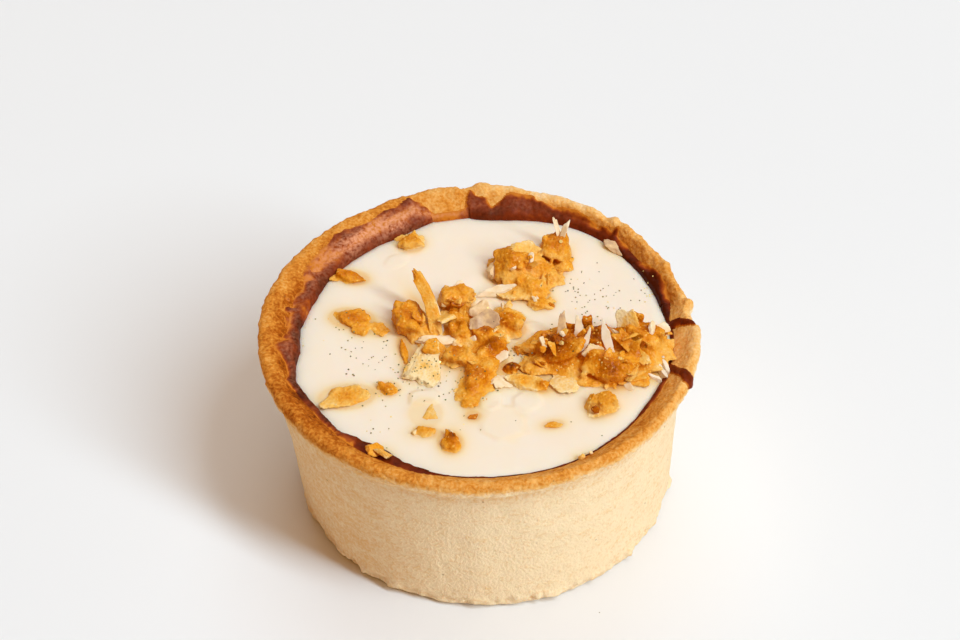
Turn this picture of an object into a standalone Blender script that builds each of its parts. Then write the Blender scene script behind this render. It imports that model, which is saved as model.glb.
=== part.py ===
"""Lemon tartlet: a small case of sweet pastry, lined with dark chocolate and filled with lemon cream.

The case stands on its flat foot, widens towards the top and ends in a browned lip that overhangs the wall.
The chocolate climbs the sloped inside of the rim by an uneven amount.  The cream stops just below the rim,
and crumbs, flakes and slivers of almond brittle lie on it, in three heaps and one by one.

Units are metres and +Z is up.  -Y is the front and +X the right.  The origin is on the surface that the
tartlet stands on, under the middle of its bounding box.
"""
import math
import random

import bmesh
import bpy
from mathutils import Euler, Vector, noise

MM = 0.001

# The pastry case.
HEIGHT = 21.55 * MM
RIM_RADIUS = 23.0 * MM
CROWN_RADIUS = 22.1 * MM
LIP_BOTTOM = 20.1 * MM
WALL_TOP_RADIUS = 21.5 * MM
WALL_FOOT_RADIUS = 19.95 * MM
FOOT_RADIUS = 18.9 * MM
FLOOR_TOP = 3.0 * MM
CAVITY_RADIUS = 20.3 * MM
CAVITY_FLOOR_RADIUS = 17.8 * MM
FLOOR_CORNER = 1.7 * MM
SLOPE_ROUNDNESS = 1.6
SEGMENTS = 96

# Section of the lip, from the crown outwards and down: how far in from the rim's radius, and the height.
LIP_SECTION = (
    (0.40 * MM, HEIGHT - 0.06 * MM),
    (0.10 * MM, HEIGHT - 0.35 * MM),
    (0.0, HEIGHT - 0.75 * MM),
    (0.20 * MM, LIP_BOTTOM + 0.25 * MM),
    (0.70 * MM, LIP_BOTTOM),
)
LIP_UNDERCUT = 0.3 * MM

# Section of the rounded foot, downwards: radius and height.
FOOT_ROUND = 1.3 * MM
FOOT_SECTION = (
    (WALL_FOOT_RADIUS - 0.25 * MM, 0.45 * MM),
    (FOOT_RADIUS + 0.30 * MM, 0.08 * MM),
    (FOOT_RADIUS, 0.0),
)

# The filling, each layer GAP clear of the next.
GAP = 0.3 * MM
LINING_THICKNESS = 0.5 * MM
CREAM_LEVEL = 20.05 * MM
CREAM_EDGE_ROUND = 0.35 * MM

# A layer that lies inside a corner of 45 degrees is shorter at that corner by this share of its depth.
CORNER_MITRE = math.tan(math.radians(22.5))

# The case was pressed by hand: its axis leans from the foot to the rim, and the cavity sits off the middle.
FOOT_SHIFT = 0.77 * MM
RIM_SHIFT = -0.15 * MM
CAVITY_SHIFT = 0.60 * MM
CAVITY_FORWARD = 0.40 * MM

# How the pressed shapes die away: the bumps of the lip below it, the waves of the crust at the foot, and the
# features of the cavity towards its middle and its floor, as shares of its radius and of the cream's level.
LIP_FADE = 1.5 * MM
LIP_BLEND = 2.0 * MM
FOOT_FADE = 1.5 * MM
CAVITY_FADE_RADIUS = (0.70, 0.95)
CAVITY_FADE_LEVEL = (0.50, 0.90)

# Bumps and bites of the lip: azimuth and half width in degrees, then how far out and how far up, in metres.
# The first is a block between two cracks that stands proud of the rest, on the right.
RIM_FEATURES = (
    (-5.0, 9.0, 0.25 * MM, 0.25 * MM),
    (7.0, 3.0, -0.60 * MM, -0.20 * MM),
    (18.0, 6.0, -0.50 * MM, -0.10 * MM),
    (46.0, 6.0, 0.40 * MM, 0.05 * MM),
    (65.0, 12.0, 0.25 * MM, 0.20 * MM),
    (83.0, 6.0, 0.35 * MM, 0.25 * MM),
    (90.0, 3.0, 0.40 * MM, 0.35 * MM),
    (93.5, 2.5, -0.30 * MM, -0.35 * MM),
    (101.0, 6.0, 0.35 * MM, 0.20 * MM),
    (111.5, 2.5, -0.25 * MM, -0.30 * MM),
    (122.0, 6.0, -0.20 * MM, 0.0),
    (170.0, 6.0, 0.15 * MM, 0.0),
)
CRUST_WAVE = 0.12 * MM
CRUST_WAVELENGTH = 5.0 * MM

# Where the top of the cavity is wider or narrower than round, in the same form.
CAVITY_FEATURES = (
    (55.0, 19.0, 0.80 * MM, 0.0),
    (100.0, 8.0, 0.40 * MM, 0.0),
    (137.0, 22.0, -0.35 * MM, 0.0),
    (198.0, 10.0, 0.45 * MM, 0.0),
)

# How far the chocolate climbs the slope inside the rim: azimuth in degrees, then the share of the way to
# the crown.
CHOCOLATE_CLIMB = (
    (4.0, 0.55), (10.0, 0.15), (24.0, 0.40), (39.0, 0.20), (46.0, 0.78), (62.0, 0.82), (81.0, 0.75),
    (87.0, 0.12), (92.0, 0.85), (97.0, 0.12), (106.0, 0.12), (112.0, 0.80), (123.0, 0.40), (136.0, 0.58),
    (153.0, 0.25), (161.0, 0.10), (169.0, 0.45), (178.0, 0.20), (188.0, 0.50), (195.0, 0.12),
    (202.0, 0.38), (218.0, 0.10), (227.0, 0.25), (236.0, 0.08), (270.0, 0.30), (340.0, 0.30), (350.0, 0.30),
)

# Pieces of brittle, as (shape, middle in X and Y, how far the piece's foot is above the cream, length, width,
# height, yaw, pitch, roll).  Sizes are millimetres and angles are degrees.
LUMP = "lump"
FLAKE = "flake"

HEAP_RIGHT = (
    (LUMP, 7.8, -2.9, 0.0, 4.8, 4.6, 3.3, 20, 0, 0),
    (LUMP, 11.9, -1.4, 0.0, 4.6, 3.8, 2.2, -15, 0, 0),
    (LUMP, 14.6, -0.8, 0.0, 2.8, 2.8, 2.2, 40, 0, 0),
    (LUMP, 17.0, -2.0, 0.0, 4.0, 3.8, 3.1, 10, 0, 0),
    (LUMP, 13.2, -5.6, 0.0, 5.2, 3.2, 2.3, -8, 0, 0),
    (LUMP, 15.6, -4.2, 0.0, 3.0, 2.8, 2.0, 0, 0, 0),
    (LUMP, 10.7, -4.3, 0.0, 2.8, 2.4, 1.6, 30, 0, 0),
    (LUMP, 6.1, -5.0, 0.0, 2.4, 2.0, 1.3, 0, 0, 0),
    (LUMP, 8.9, -0.4, 0.0, 2.8, 2.4, 1.9, 0, 0, 0),
    (LUMP, 16.8, -0.2, 1.4, 1.7, 1.5, 2.0, 0, 0, 0),
    (FLAKE, 10.9, -2.3, 1.3, 2.9, 1.6, 0.35, 70, -48, 70),
    (FLAKE, 13.1, -2.6, 1.3, 3.2, 1.6, 0.35, 118, -50, -68),
    (FLAKE, 15.1, -0.5, 1.1, 3.0, 2.0, 0.35, 100, -62, 0),
    (FLAKE, 12.0, -4.4, 1.2, 2.6, 1.7, 0.35, 0, 12, 22),
    (FLAKE, 15.6, -4.4, 1.0, 3.8, 1.8, 0.6, -35, 0, 25),
    (FLAKE, 9.0, -0.2, 0.9, 3.2, 1.3, 0.4, 80, -62, 0),
    (FLAKE, 17.9, -4.3, 0.1, 2.8, 1.6, 0.5, -60, 0, 20),
)
HEAP_MIDDLE = (
    (LUMP, -7.1, 1.7, 0.0, 3.4, 4.2, 2.3, 5, 0, 0),
    (LUMP, -4.5, 0.4, 0.0, 3.6, 2.8, 1.4, 10, 0, 0),
    (LUMP, -2.4, 4.9, 0.0, 3.4, 3.2, 2.7, 0, 0, 0),
    (LUMP, -2.3, 2.8, 0.0, 3.0, 2.6, 1.6, 0, 0, 0),
    (LUMP, -1.8, 0.6, 0.0, 3.2, 3.0, 1.7, 30, 0, 0),
    (LUMP, 0.4, 3.6, 0.0, 3.4, 3.0, 1.8, 20, 0, 0),
    (LUMP, 0.6, 0.2, 0.0, 3.0, 3.2, 1.5, 0, 0, 0),
    (LUMP, 1.1, -2.3, 0.0, 3.3, 3.0, 2.2, 15, 0, 0),
    (LUMP, 3.0, 1.6, 0.0, 3.4, 2.6, 1.6, -30, 0, 0),
    (LUMP, -4.5, -2.1, 0.0, 2.8, 3.6, 1.4, 0, 0, 0),
    (LUMP, -2.4, -3.7, 0.0, 3.4, 2.8, 1.5, 0, 0, 0),
    (FLAKE, 0.6, 0.4, 1.2, 3.1, 2.6, 0.45, 30, -10, 45),
    (FLAKE, -5.6, -3.6, 0.2, 5.2, 4.0, 0.45, 75, -8, 6),
    (FLAKE, -5.2, 2.2, 0.5, 7.4, 1.1, 0.6, 117, -38, 20),
    (FLAKE, -0.5, -7.0, 0.0, 6.8, 2.8, 1.1, 74, 0, 0),
    (LUMP, 0.4, -4.2, 0.0, 2.2, 2.0, 1.2, 0, 0, 0),
)
HEAP_BACK = (
    (LUMP, 4.4, 10.3, 0.0, 5.6, 4.4, 2.9, 0, 0, 0),
    (LUMP, 8.2, 12.4, 0.0, 3.6, 3.6, 2.3, 0, 0, 0),
    (LUMP, 5.2, 7.2, 0.0, 4.4, 3.4, 1.7, -15, 0, 0),
    (LUMP, 7.4, 9.4, 0.0, 2.6, 2.6, 1.3, 0, 0, 0),
    (LUMP, 1.9, 9.9, 0.0, 2.0, 1.8, 1.6, 0, 0, 0),
    (FLAKE, 2.2, 6.9, 0.1, 4.4, 1.0, 0.5, 6, 0, 20),
    (FLAKE, 8.0, 13.2, 1.2, 3.4, 0.8, 0.5, 105, -50, 0),
    (FLAKE, 9.2, 13.1, 1.2, 2.9, 0.8, 0.5, 55, -50, 0),
)
SINGLE_PIECES = (
    (FLAKE, -13.3, 2.7, -0.30, 5.2, 3.1, 1.1, -10, 3, 0),
    (FLAKE, -10.7, 0.2, -0.30, 2.4, 1.4, 1.0, -20, 0, 0),
    (FLAKE, -13.5, 9.4, -0.30, 3.2, 1.8, 1.1, -15, 4, 0),
    (LUMP, -7.5, 15.0, -0.40, 2.8, 2.6, 1.6, 0, 0, 0),
    (FLAKE, -13.4, -8.8, -0.30, 5.4, 3.4, 0.9, 8, 0, 0),
    (LUMP, -9.4, -7.8, -0.40, 2.1, 1.9, 1.3, 0, 0, 0),
    (FLAKE, -5.1, -11.4, -0.25, 3.0, 2.6, 0.6, 80, 0, 0),
    (LUMP, -2.9, -15.4, -0.40, 2.1, 2.8, 1.5, 10, 0, 0),
    (LUMP, -5.4, -14.2, -0.40, 1.5, 1.4, 1.1, 0, 0, 0),
    (FLAKE, 2.6, -9.2, -0.25, 3.4, 2.4, 0.6, 70, 0, 4),
    (LUMP, 3.3, -5.3, -0.40, 2.2, 1.4, 1.2, 0, 0, 0),
    (FLAKE, 4.6, -7.3, -0.25, 3.2, 1.8, 0.7, 10, 3, 0),
    (FLAKE, 8.9, -8.4, -0.25, 3.2, 2.6, 0.6, 20, 3, 0),
    (LUMP, 12.5, -10.1, -0.40, 3.0, 2.6, 2.0, 0, 0, 0),
)

# A flake is a polygon whose corners drift by a share of a side and reach out by a share of its size, with a
# slightly smaller upper face.  A lump has corners on a ball that is squarer the higher LUMP_SQUARENESS is.
FLAKE_SIDES = 7
FLAKE_DRIFT = 0.3
FLAKE_REACH = (0.75, 1.05)
FLAKE_TOP_SHARE = 0.92
LUMP_CORNERS = 22
LUMP_SQUARENESS = 3.0
SEED = 41

# Each piece of a heap ends this much higher than the last one, so that no two undersides lie in one plane.
FOOT_STEP = 0.02 * MM
MERGE_DISTANCE = 0.01 * MM
SHARP_ANGLE = math.radians(35.0)

# Finishes: sRGB colour, roughness.
PASTRY = ("pastry", (0.85, 0.66, 0.42), 0.75)
CHOCOLATE = ("dark chocolate", (0.27, 0.11, 0.07), 0.35)
CREAM = ("lemon cream", (0.98, 0.93, 0.84), 0.30)
BRITTLE = ("almond brittle", (0.84, 0.57, 0.20), 0.25)


def smooth_step(low, high, value):
    """Rise from 0 at low to 1 at high with no kink."""
    share = min(max((value - low) / (high - low), 0.0), 1.0)
    return share * share * (3.0 - 2.0 * share)


def cavity_radius(height):
    """Radius of the inside of the case at a height."""
    share = min(max((height - FLOOR_TOP) / (CREAM_LEVEL - FLOOR_TOP), 0.0), 1.0)
    return CAVITY_FLOOR_RADIUS + share * (CAVITY_RADIUS - CAVITY_FLOOR_RADIUS)


def wall_radius(height):
    """Radius of the outside of the wall at a height."""
    return WALL_FOOT_RADIUS + height / LIP_BOTTOM * (WALL_TOP_RADIUS - WALL_FOOT_RADIUS)


def slope_point(share):
    """Radius and height on the sloped inside of the rim, from the cream's level (0) to the crown (1)."""
    radius = CAVITY_RADIUS + share * (CROWN_RADIUS - CAVITY_RADIUS)
    rise = 1.0 - (1.0 - share) ** SLOPE_ROUNDNESS
    return radius, CREAM_LEVEL + rise * (HEIGHT - CREAM_LEVEL)


def slope_normal(share):
    """Direction, as (radius, height), that points out of the crust at a share of the way up the slope."""
    step = 0.01
    radius, height = slope_point(share)
    next_radius, next_height = slope_point(share + step)
    run = math.hypot(next_radius - radius, next_height - height)
    return (height - next_height) / run, (next_radius - radius) / run


def bulge(features, azimuth):
    """How far out and how far up the features move a point at an azimuth in radians."""
    out = 0.0
    up = 0.0
    for middle, half_width, feature_out, feature_up in features:
        away = (math.degrees(azimuth) - middle + 180.0) % 360.0 - 180.0
        weight = math.exp(-((away / half_width) ** 4))
        out += weight * feature_out
        up += weight * feature_up
    return out, up


def hand_pressed(point):
    """Move a point of the ideal turned tartlet to where the real, hand-pressed one has it."""
    radius = math.hypot(point.x, point.y)
    azimuth = math.atan2(point.y, point.x)
    lip_radius = RIM_RADIUS * smooth_step(LIP_BOTTOM - LIP_BLEND, LIP_BOTTOM, point.z)
    outer = max(wall_radius(point.z), lip_radius)
    outwards = smooth_step(cavity_radius(point.z), outer, radius)
    outer_shift = FOOT_SHIFT + point.z / HEIGHT * (RIM_SHIFT - FOOT_SHIFT)
    shift = CAVITY_SHIFT + outwards * (outer_shift - CAVITY_SHIFT)
    forward = (1.0 - outwards) * CAVITY_FORWARD

    near, far = (share * CAVITY_RADIUS for share in CAVITY_FADE_RADIUS)
    low, high = (share * CREAM_LEVEL for share in CAVITY_FADE_LEVEL)
    in_cavity_top = smooth_step(near, far, radius) * (1.0 - smooth_step(CAVITY_RADIUS, CROWN_RADIUS, radius))
    in_cavity_top *= smooth_step(low, high, point.z)
    in_lip = smooth_step(CAVITY_RADIUS, RIM_RADIUS, radius)
    in_lip *= smooth_step(LIP_BOTTOM - LIP_FADE, HEIGHT, point.z)
    in_crust = outwards * smooth_step(0.0, FOOT_FADE, point.z)
    lip_out, lip_up = bulge(RIM_FEATURES, azimuth)
    cavity_out = bulge(CAVITY_FEATURES, azimuth)[0]
    wave = noise.noise(point / CRUST_WAVELENGTH)
    radius += in_lip * lip_out + in_crust * CRUST_WAVE * wave + in_cavity_top * cavity_out
    height = point.z + in_lip * lip_up
    return Vector((shift + radius * math.cos(azimuth), radius * math.sin(azimuth) - forward, height))


def chocolate_climb(azimuth):
    """Share of the way up the rim's slope that the chocolate reaches, at an azimuth in degrees."""
    places = [(CHOCOLATE_CLIMB[-1][0] - 360.0, CHOCOLATE_CLIMB[-1][1])]
    places += CHOCOLATE_CLIMB
    places.append((CHOCOLATE_CLIMB[0][0] + 360.0, CHOCOLATE_CLIMB[0][1]))
    azimuth %= 360.0
    for (start, low), (end, high) in zip(places, places[1:]):
        if start <= azimuth <= end:
            return low + smooth_step(start, end, azimuth) * (high - low)
    return places[0][1]


def new_collection(name):
    """Add an empty collection to the scene."""
    collection = bpy.data.collections.new(name)
    bpy.context.scene.collection.children.link(collection)
    return collection


def new_object(name, mesh, collection):
    """Add an object that holds a mesh."""
    thing = bpy.data.objects.new(name, mesh)
    collection.objects.link(thing)
    return thing


def turned(name, profile, segments, collection):
    """Turn a profile of (radius, height) points, from the axis and back to it, into a closed mesh."""
    mesh = bpy.data.meshes.new(name + "_profile")
    edges = [(index, index + 1) for index in range(len(profile) - 1)]
    mesh.from_pydata([(radius, 0.0, height) for radius, height in profile], edges, [])
    guide = new_object(name + "_profile", mesh, collection)
    screw = guide.modifiers.new("turn", "SCREW")
    screw.steps = segments
    screw.render_steps = segments
    screw.use_merge_vertices = True
    screw.merge_threshold = MERGE_DISTANCE
    solid = bpy.data.meshes.new_from_object(guide.evaluated_get(bpy.context.evaluated_depsgraph_get()))
    solid.name = name
    bpy.data.objects.remove(guide)
    return new_object(name, solid, collection)


def press(thing):
    """Give every point of a turned object its hand-pressed place."""
    for vertex in thing.data.vertices:
        vertex.co = hand_pressed(vertex.co)


def make_case(collection):
    """The pastry case: floor, tapered wall and overhanging lip."""
    middle = 0.5 * (FLOOR_TOP + CREAM_LEVEL)
    profile = [
        (0.0, FLOOR_TOP),
        (CAVITY_FLOOR_RADIUS - FLOOR_CORNER, FLOOR_TOP),
        (cavity_radius(FLOOR_TOP + FLOOR_CORNER), FLOOR_TOP + FLOOR_CORNER),
        (cavity_radius(middle), middle),
    ]
    profile += [slope_point(share) for share in (0.0, 0.33, 0.67, 1.0)]
    profile += [(RIM_RADIUS - inwards, height) for inwards, height in LIP_SECTION]
    profile.append((WALL_TOP_RADIUS, LIP_BOTTOM - LIP_UNDERCUT))
    profile += [(wall_radius(share * LIP_BOTTOM), share * LIP_BOTTOM) for share in (0.75, 0.50, 0.25)]
    profile.append((wall_radius(FOOT_ROUND), FOOT_ROUND))
    profile += FOOT_SECTION
    profile.append((0.0, 0.0))
    case = turned("pastry_case", profile, SEGMENTS, collection)
    press(case)
    return case


def lining_section(climb):
    """Section of the chocolate coat: down the side that faces the cream, and back along the crust."""
    sides = []
    for offset in (GAP + LINING_THICKNESS, GAP):
        side = [
            (CAVITY_FLOOR_RADIUS - FLOOR_CORNER - CORNER_MITRE * offset, FLOOR_TOP + offset),
            (cavity_radius(FLOOR_TOP + FLOOR_CORNER) - offset, FLOOR_TOP + FLOOR_CORNER),
        ]
        for share in (0.0, 0.5 * climb, climb):
            radius, height = slope_point(share)
            across, up = slope_normal(share)
            side.append((radius + offset * across, height + offset * up))
        sides.append(side)
    return sides[0] + sides[1][::-1]


def make_lining(collection):
    """The chocolate coat on the floor, the wall and the rim's slope, with an uneven upper edge."""
    shape = bmesh.new()
    rings = []
    for index in range(SEGMENTS):
        turn = 2.0 * math.pi * index / SEGMENTS
        ring = []
        for radius, height in lining_section(chocolate_climb(math.degrees(turn))):
            point = Vector((radius * math.cos(turn), radius * math.sin(turn), height))
            ring.append(shape.verts.new(hand_pressed(point)))
        rings.append(ring)
    top = shape.verts.new(hand_pressed(Vector((0.0, 0.0, FLOOR_TOP + GAP + LINING_THICKNESS))))
    bottom = shape.verts.new(hand_pressed(Vector((0.0, 0.0, FLOOR_TOP + GAP))))
    for here, there in zip(rings, rings[1:] + rings[:1]):
        shape.faces.new((top, here[0], there[0]))
        shape.faces.new((bottom, there[-1], here[-1]))
        for index in range(len(here) - 1):
            shape.faces.new((here[index], here[index + 1], there[index + 1], there[index]))
    mesh = bpy.data.meshes.new("chocolate_lining")
    shape.to_mesh(mesh)
    shape.free()
    return new_object("chocolate_lining", mesh, collection)


def make_cream(collection):
    """The cream, cast in the lined case, with a rounded upper edge."""
    inset = 2.0 * GAP + LINING_THICKNESS
    edge = CAVITY_RADIUS - inset
    corner = FLOOR_TOP + FLOOR_CORNER
    profile = [
        (0.0, CREAM_LEVEL),
        (0.5 * edge, CREAM_LEVEL),
        (edge - CREAM_EDGE_ROUND, CREAM_LEVEL),
        (edge, CREAM_LEVEL - CREAM_EDGE_ROUND),
        (cavity_radius(corner) - inset, corner),
        (CAVITY_FLOOR_RADIUS - FLOOR_CORNER - CORNER_MITRE * inset, FLOOR_TOP + inset),
        (0.0, FLOOR_TOP + inset),
    ]
    cream = turned("lemon_cream", profile, SEGMENTS, collection)
    press(cream)
    return cream


def make_lump(shape, size, draw):
    """A broken nugget: the hull of corners drawn on a squarish ball."""
    for _ in range(LUMP_CORNERS):
        corner = Vector([draw.gauss(0.0, 1.0) for _ in range(3)]).normalized()
        reach = sum(abs(part) ** LUMP_SQUARENESS for part in corner) ** (1.0 / LUMP_SQUARENESS)
        shape.verts.new(corner / reach)
    hull = bmesh.ops.convex_hull(shape, input=shape.verts[:])
    bmesh.ops.delete(shape, geom=hull["geom_interior"], context="VERTS")
    for axis in range(3):
        low = min(vertex.co[axis] for vertex in shape.verts)
        high = max(vertex.co[axis] for vertex in shape.verts)
        for vertex in shape.verts:
            vertex.co[axis] = ((vertex.co[axis] - low) / (high - low) - 0.5) * size[axis]


def make_flake(shape, size, draw):
    """A broken plate: an uneven polygon with a thickness."""
    corners = []
    for index in range(FLAKE_SIDES):
        turn = 2.0 * math.pi * (index + draw.uniform(-FLAKE_DRIFT, FLAKE_DRIFT)) / FLAKE_SIDES
        reach = 0.5 * draw.uniform(*FLAKE_REACH)
        corners.append((reach * math.cos(turn) * size.x, reach * math.sin(turn) * size.y))
    half = 0.5 * size.z
    lower = [shape.verts.new((x, y, -half)) for x, y in corners]
    upper = [shape.verts.new((FLAKE_TOP_SHARE * x, FLAKE_TOP_SHARE * y, half)) for x, y in corners]
    shape.faces.new(lower[::-1])
    shape.faces.new(upper)
    for index in range(FLAKE_SIDES):
        after = (index + 1) % FLAKE_SIDES
        shape.faces.new((lower[index], lower[after], upper[after], upper[index]))


def place_piece(name, row, draw, collection, floor_level):
    """Make one piece of brittle, turn it and set it down; floor_level is as low as it may reach."""
    kind, x, y, lift, length, width, height, yaw, pitch, roll = row
    shape = bmesh.new()
    size = Vector((length, width, height)) * MM
    if kind == LUMP:
        make_lump(shape, size, draw)
    else:
        make_flake(shape, size, draw)
    turn = Euler((math.radians(roll), math.radians(pitch), math.radians(yaw))).to_matrix()
    foot = CREAM_LEVEL + lift * MM
    reach = min((turn @ vertex.co).z for vertex in shape.verts)
    middle = Vector((x * MM, y * MM, foot - reach))
    for vertex in shape.verts:
        vertex.co = middle + turn @ vertex.co
        vertex.co.z = max(vertex.co.z, floor_level)
    mesh = bpy.data.meshes.new(name)
    shape.to_mesh(mesh)
    shape.free()
    return new_object(name, mesh, collection)


def keep_largest_body(thing):
    """Drop any scrap that a union left loose."""
    shape = bmesh.new()
    shape.from_mesh(thing.data)
    left = set(shape.verts)
    bodies = []
    while left:
        body = set()
        edge_of_search = [left.pop()]
        while edge_of_search:
            vertex = edge_of_search.pop()
            body.add(vertex)
            for edge in vertex.link_edges:
                other = edge.other_vert(vertex)
                if other in left:
                    left.discard(other)
                    edge_of_search.append(other)
        bodies.append(body)
    bodies.sort(key=len)
    for scrap in bodies[:-1]:
        bmesh.ops.delete(shape, geom=list(scrap), context="VERTS")
    shape.to_mesh(thing.data)
    shape.free()


def fuse(thing, pieces):
    """Join a collection of pieces to an object with one union, and remove the collection."""
    union = thing.modifiers.new("fuse", "BOOLEAN")
    union.operation = "UNION"
    union.solver = "EXACT"
    union.operand_type = "COLLECTION"
    union.collection = pieces
    joined = bpy.data.meshes.new_from_object(thing.evaluated_get(bpy.context.evaluated_depsgraph_get()))
    thing.modifiers.remove(union)
    old = thing.data
    thing.data = joined
    bpy.data.meshes.remove(old)
    for piece in list(pieces.objects):
        bpy.data.objects.remove(piece)
    bpy.data.collections.remove(pieces)
    keep_largest_body(thing)


def make_heap(name, rows, draw, collection):
    """A heap of brittle: pieces that bite into each other, fused, clear of the cream below."""
    lowest = CREAM_LEVEL + GAP
    pieces = new_collection(name + "_pieces")
    for index, row in enumerate(rows[1:]):
        place_piece(f"{name}_{index}", row, draw, pieces, lowest + (index + 1) * FOOT_STEP)
    heap = place_piece(name, rows[0], draw, collection, lowest)
    fuse(heap, pieces)
    return heap


def finish(thing, look):
    """Give an object its material and smooth its round faces."""
    name, colour, roughness = look
    material = bpy.data.materials.get(name) or bpy.data.materials.new(name)
    material.use_nodes = True
    shader = material.node_tree.nodes["Principled BSDF"]
    linear = [((part + 0.055) / 1.055) ** 2.4 for part in colour]
    shader.inputs["Base Color"].default_value = (*linear, 1.0)
    shader.inputs["Roughness"].default_value = roughness
    thing.data.materials.clear()
    thing.data.materials.append(material)
    thing.data.shade_smooth()
    thing.data.set_sharp_from_angle(angle=SHARP_ANGLE)


def main():
    """Build the tartlet in an empty scene."""
    for old in list(bpy.data.objects):
        bpy.data.objects.remove(old)
    draw = random.Random(SEED)
    parts = new_collection("lemon_tartlet")
    finish(make_case(parts), PASTRY)
    finish(make_lining(parts), CHOCOLATE)
    cream = make_cream(parts)
    singles = new_collection("single_pieces")
    for index, row in enumerate(SINGLE_PIECES):
        place_piece(f"single_{index}", row, draw, singles, 0.0)
    fuse(cream, singles)
    finish(cream, CREAM)
    finish(make_heap("brittle_heap_right", HEAP_RIGHT, draw, parts), BRITTLE)
    finish(make_heap("brittle_heap_middle", HEAP_MIDDLE, draw, parts), BRITTLE)
    finish(make_heap("brittle_heap_back", HEAP_BACK, draw, parts), BRITTLE)


main()
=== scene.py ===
"""Looks of a lemon tartlet: sweet pastry, dark chocolate, set lemon cream and broken almond brittle.

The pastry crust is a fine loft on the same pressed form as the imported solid, with its crumb, cracks and torn
edges as real relief.  The chocolate coat lies on that crust, the cream fills it, and the brittle lies on the
cream.  Sizes in the classes are millimetres, and azimuths are degrees from +X towards +Y.
"""
import logging
import math
from dataclasses import dataclass, field
from enum import Enum
from typing import Callable, NamedTuple

import bmesh
import bpy
import numpy as np
from mathutils import Euler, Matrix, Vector, noise
from mathutils.bvhtree import BVHTree


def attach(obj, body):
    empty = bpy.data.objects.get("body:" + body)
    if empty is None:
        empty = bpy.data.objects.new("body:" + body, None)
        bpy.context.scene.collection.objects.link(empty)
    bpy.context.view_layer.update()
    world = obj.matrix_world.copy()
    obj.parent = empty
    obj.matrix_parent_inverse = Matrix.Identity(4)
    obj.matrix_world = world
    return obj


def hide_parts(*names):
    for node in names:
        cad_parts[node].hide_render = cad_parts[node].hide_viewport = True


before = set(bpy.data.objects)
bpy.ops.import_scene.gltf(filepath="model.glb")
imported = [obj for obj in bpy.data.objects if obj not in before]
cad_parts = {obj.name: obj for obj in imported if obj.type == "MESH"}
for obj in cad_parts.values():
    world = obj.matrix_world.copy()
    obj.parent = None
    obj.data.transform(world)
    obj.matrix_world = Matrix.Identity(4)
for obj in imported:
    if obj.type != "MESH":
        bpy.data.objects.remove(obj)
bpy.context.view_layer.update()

MM = 0.001
BODY = "root"
DROP_FROM = 40.0  # a height above everything, from which loose things fall
LOG = logging.getLogger("lemon_tartlet")
HASH_TOP = 0x7FFFFFFF

Array = np.ndarray
Colour = tuple[float, float, float, float]
Pair = tuple[float, float]
Places = tuple[Pair, ...]
Stops = tuple[tuple[float, str], ...]


# ---- Small tools ----


def linear(hex_code: str) -> Colour:
    """Turn an sRGB hex colour into a linear one.

    Args:
        hex_code: the colour as "#rrggbb".

    Returns:
        Linear red, green and blue, and an alpha of 1.
    """
    parts = [int(hex_code[start:start + 2], 16) / 255.0 for start in (1, 3, 5)]
    red, green, blue = (
        part / 12.92 if part <= 0.04045 else ((part + 0.055) / 1.055) ** 2.4 for part in parts
    )
    return red, green, blue, 1.0


def add_node(
    tree: bpy.types.NodeTree,
    kind: str,
    inputs: dict | None = None,
    stops: Stops = (),
    **settings: object,
) -> bpy.types.Node:
    """Add a node with its settings and links.

    Args:
        tree: the node tree that gets the node.
        kind: the node's type, without its "ShaderNode" prefix.
        inputs: for each input, by name or number, its value or the output socket that feeds it.
        stops: place and hex colour of each stop, on a colour ramp.
        settings: the node's own properties.

    Returns:
        The new node.
    """
    made = tree.nodes.new("ShaderNode" + kind)
    for name, value in settings.items():
        setattr(made, name, value)
    for key, value in (inputs or {}).items():
        if isinstance(value, bpy.types.NodeSocket):
            tree.links.new(value, made.inputs[key])
        else:
            made.inputs[key].default_value = value
    for index, (place, hex_code) in enumerate(stops):
        elements = made.color_ramp.elements
        stop = elements[index] if index < 2 else elements.new(place)
        stop.position = place
        stop.color = linear(hex_code)
    return made


def smooth_step(low: Array | float, high: Array | float, value: Array | float) -> Array:
    """Rise from 0 at low to 1 at high with no kink.

    Args:
        low: where the rise starts.
        high: where it ends.
        value: where to read it.

    Returns:
        A share from 0 to 1 for each value.
    """
    share = np.clip((value - low) / (high - low), 0.0, 1.0)
    return share * share * (3.0 - 2.0 * share)


def hill(middle: float, half_width: float, value: Array) -> Array:
    """A smooth hill of height 1 around a middle, which is nearly 0 at twice its half width."""
    return np.exp(-(((value - middle) / half_width) ** 2))
def plateau(value: Array, rise: Pair, fall: Pair) -> Array:
    """Rise from 0 to 1 over one stretch of the value, and fall back to 0 over another."""
    return smooth_step(*rise, value) * (1.0 - smooth_step(*fall, value))


def turn_between(azimuth: Array, middle: Array | float) -> Array:
    """Signed angle in degrees from a middle azimuth to each azimuth, from -180 to 180."""
    return (azimuth - middle + 180.0) % 360.0 - 180.0
def facing(azimuth: Array, middle: float, half_width: float) -> Array:
    """A smooth hill of height 1 round one azimuth, with all three in degrees."""
    return hill(0.0, half_width, turn_between(azimuth, middle))


def around_axis(points: Array) -> tuple[Array, Array]:
    """Distance of points from the axis, and their azimuth in degrees."""
    return np.hypot(points[..., 0], points[..., 1]), np.degrees(np.arctan2(points[..., 1], points[..., 0]))


def read_around(table: Places, azimuth: Array) -> Array:
    """Read a table of azimuth and distance at each azimuth in degrees."""
    turns, distances = np.array(table).T
    return np.interp(azimuth, turns, distances, period=360.0)


def streaked(azimuth: Array, across: Array, long: float, wide: float) -> Array:
    """Places where lumps of size 1 become streaks round the axis, some degrees long and some mm wide."""
    return np.stack((azimuth / long, across / wide, np.zeros_like(across)), axis=-1)


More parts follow.
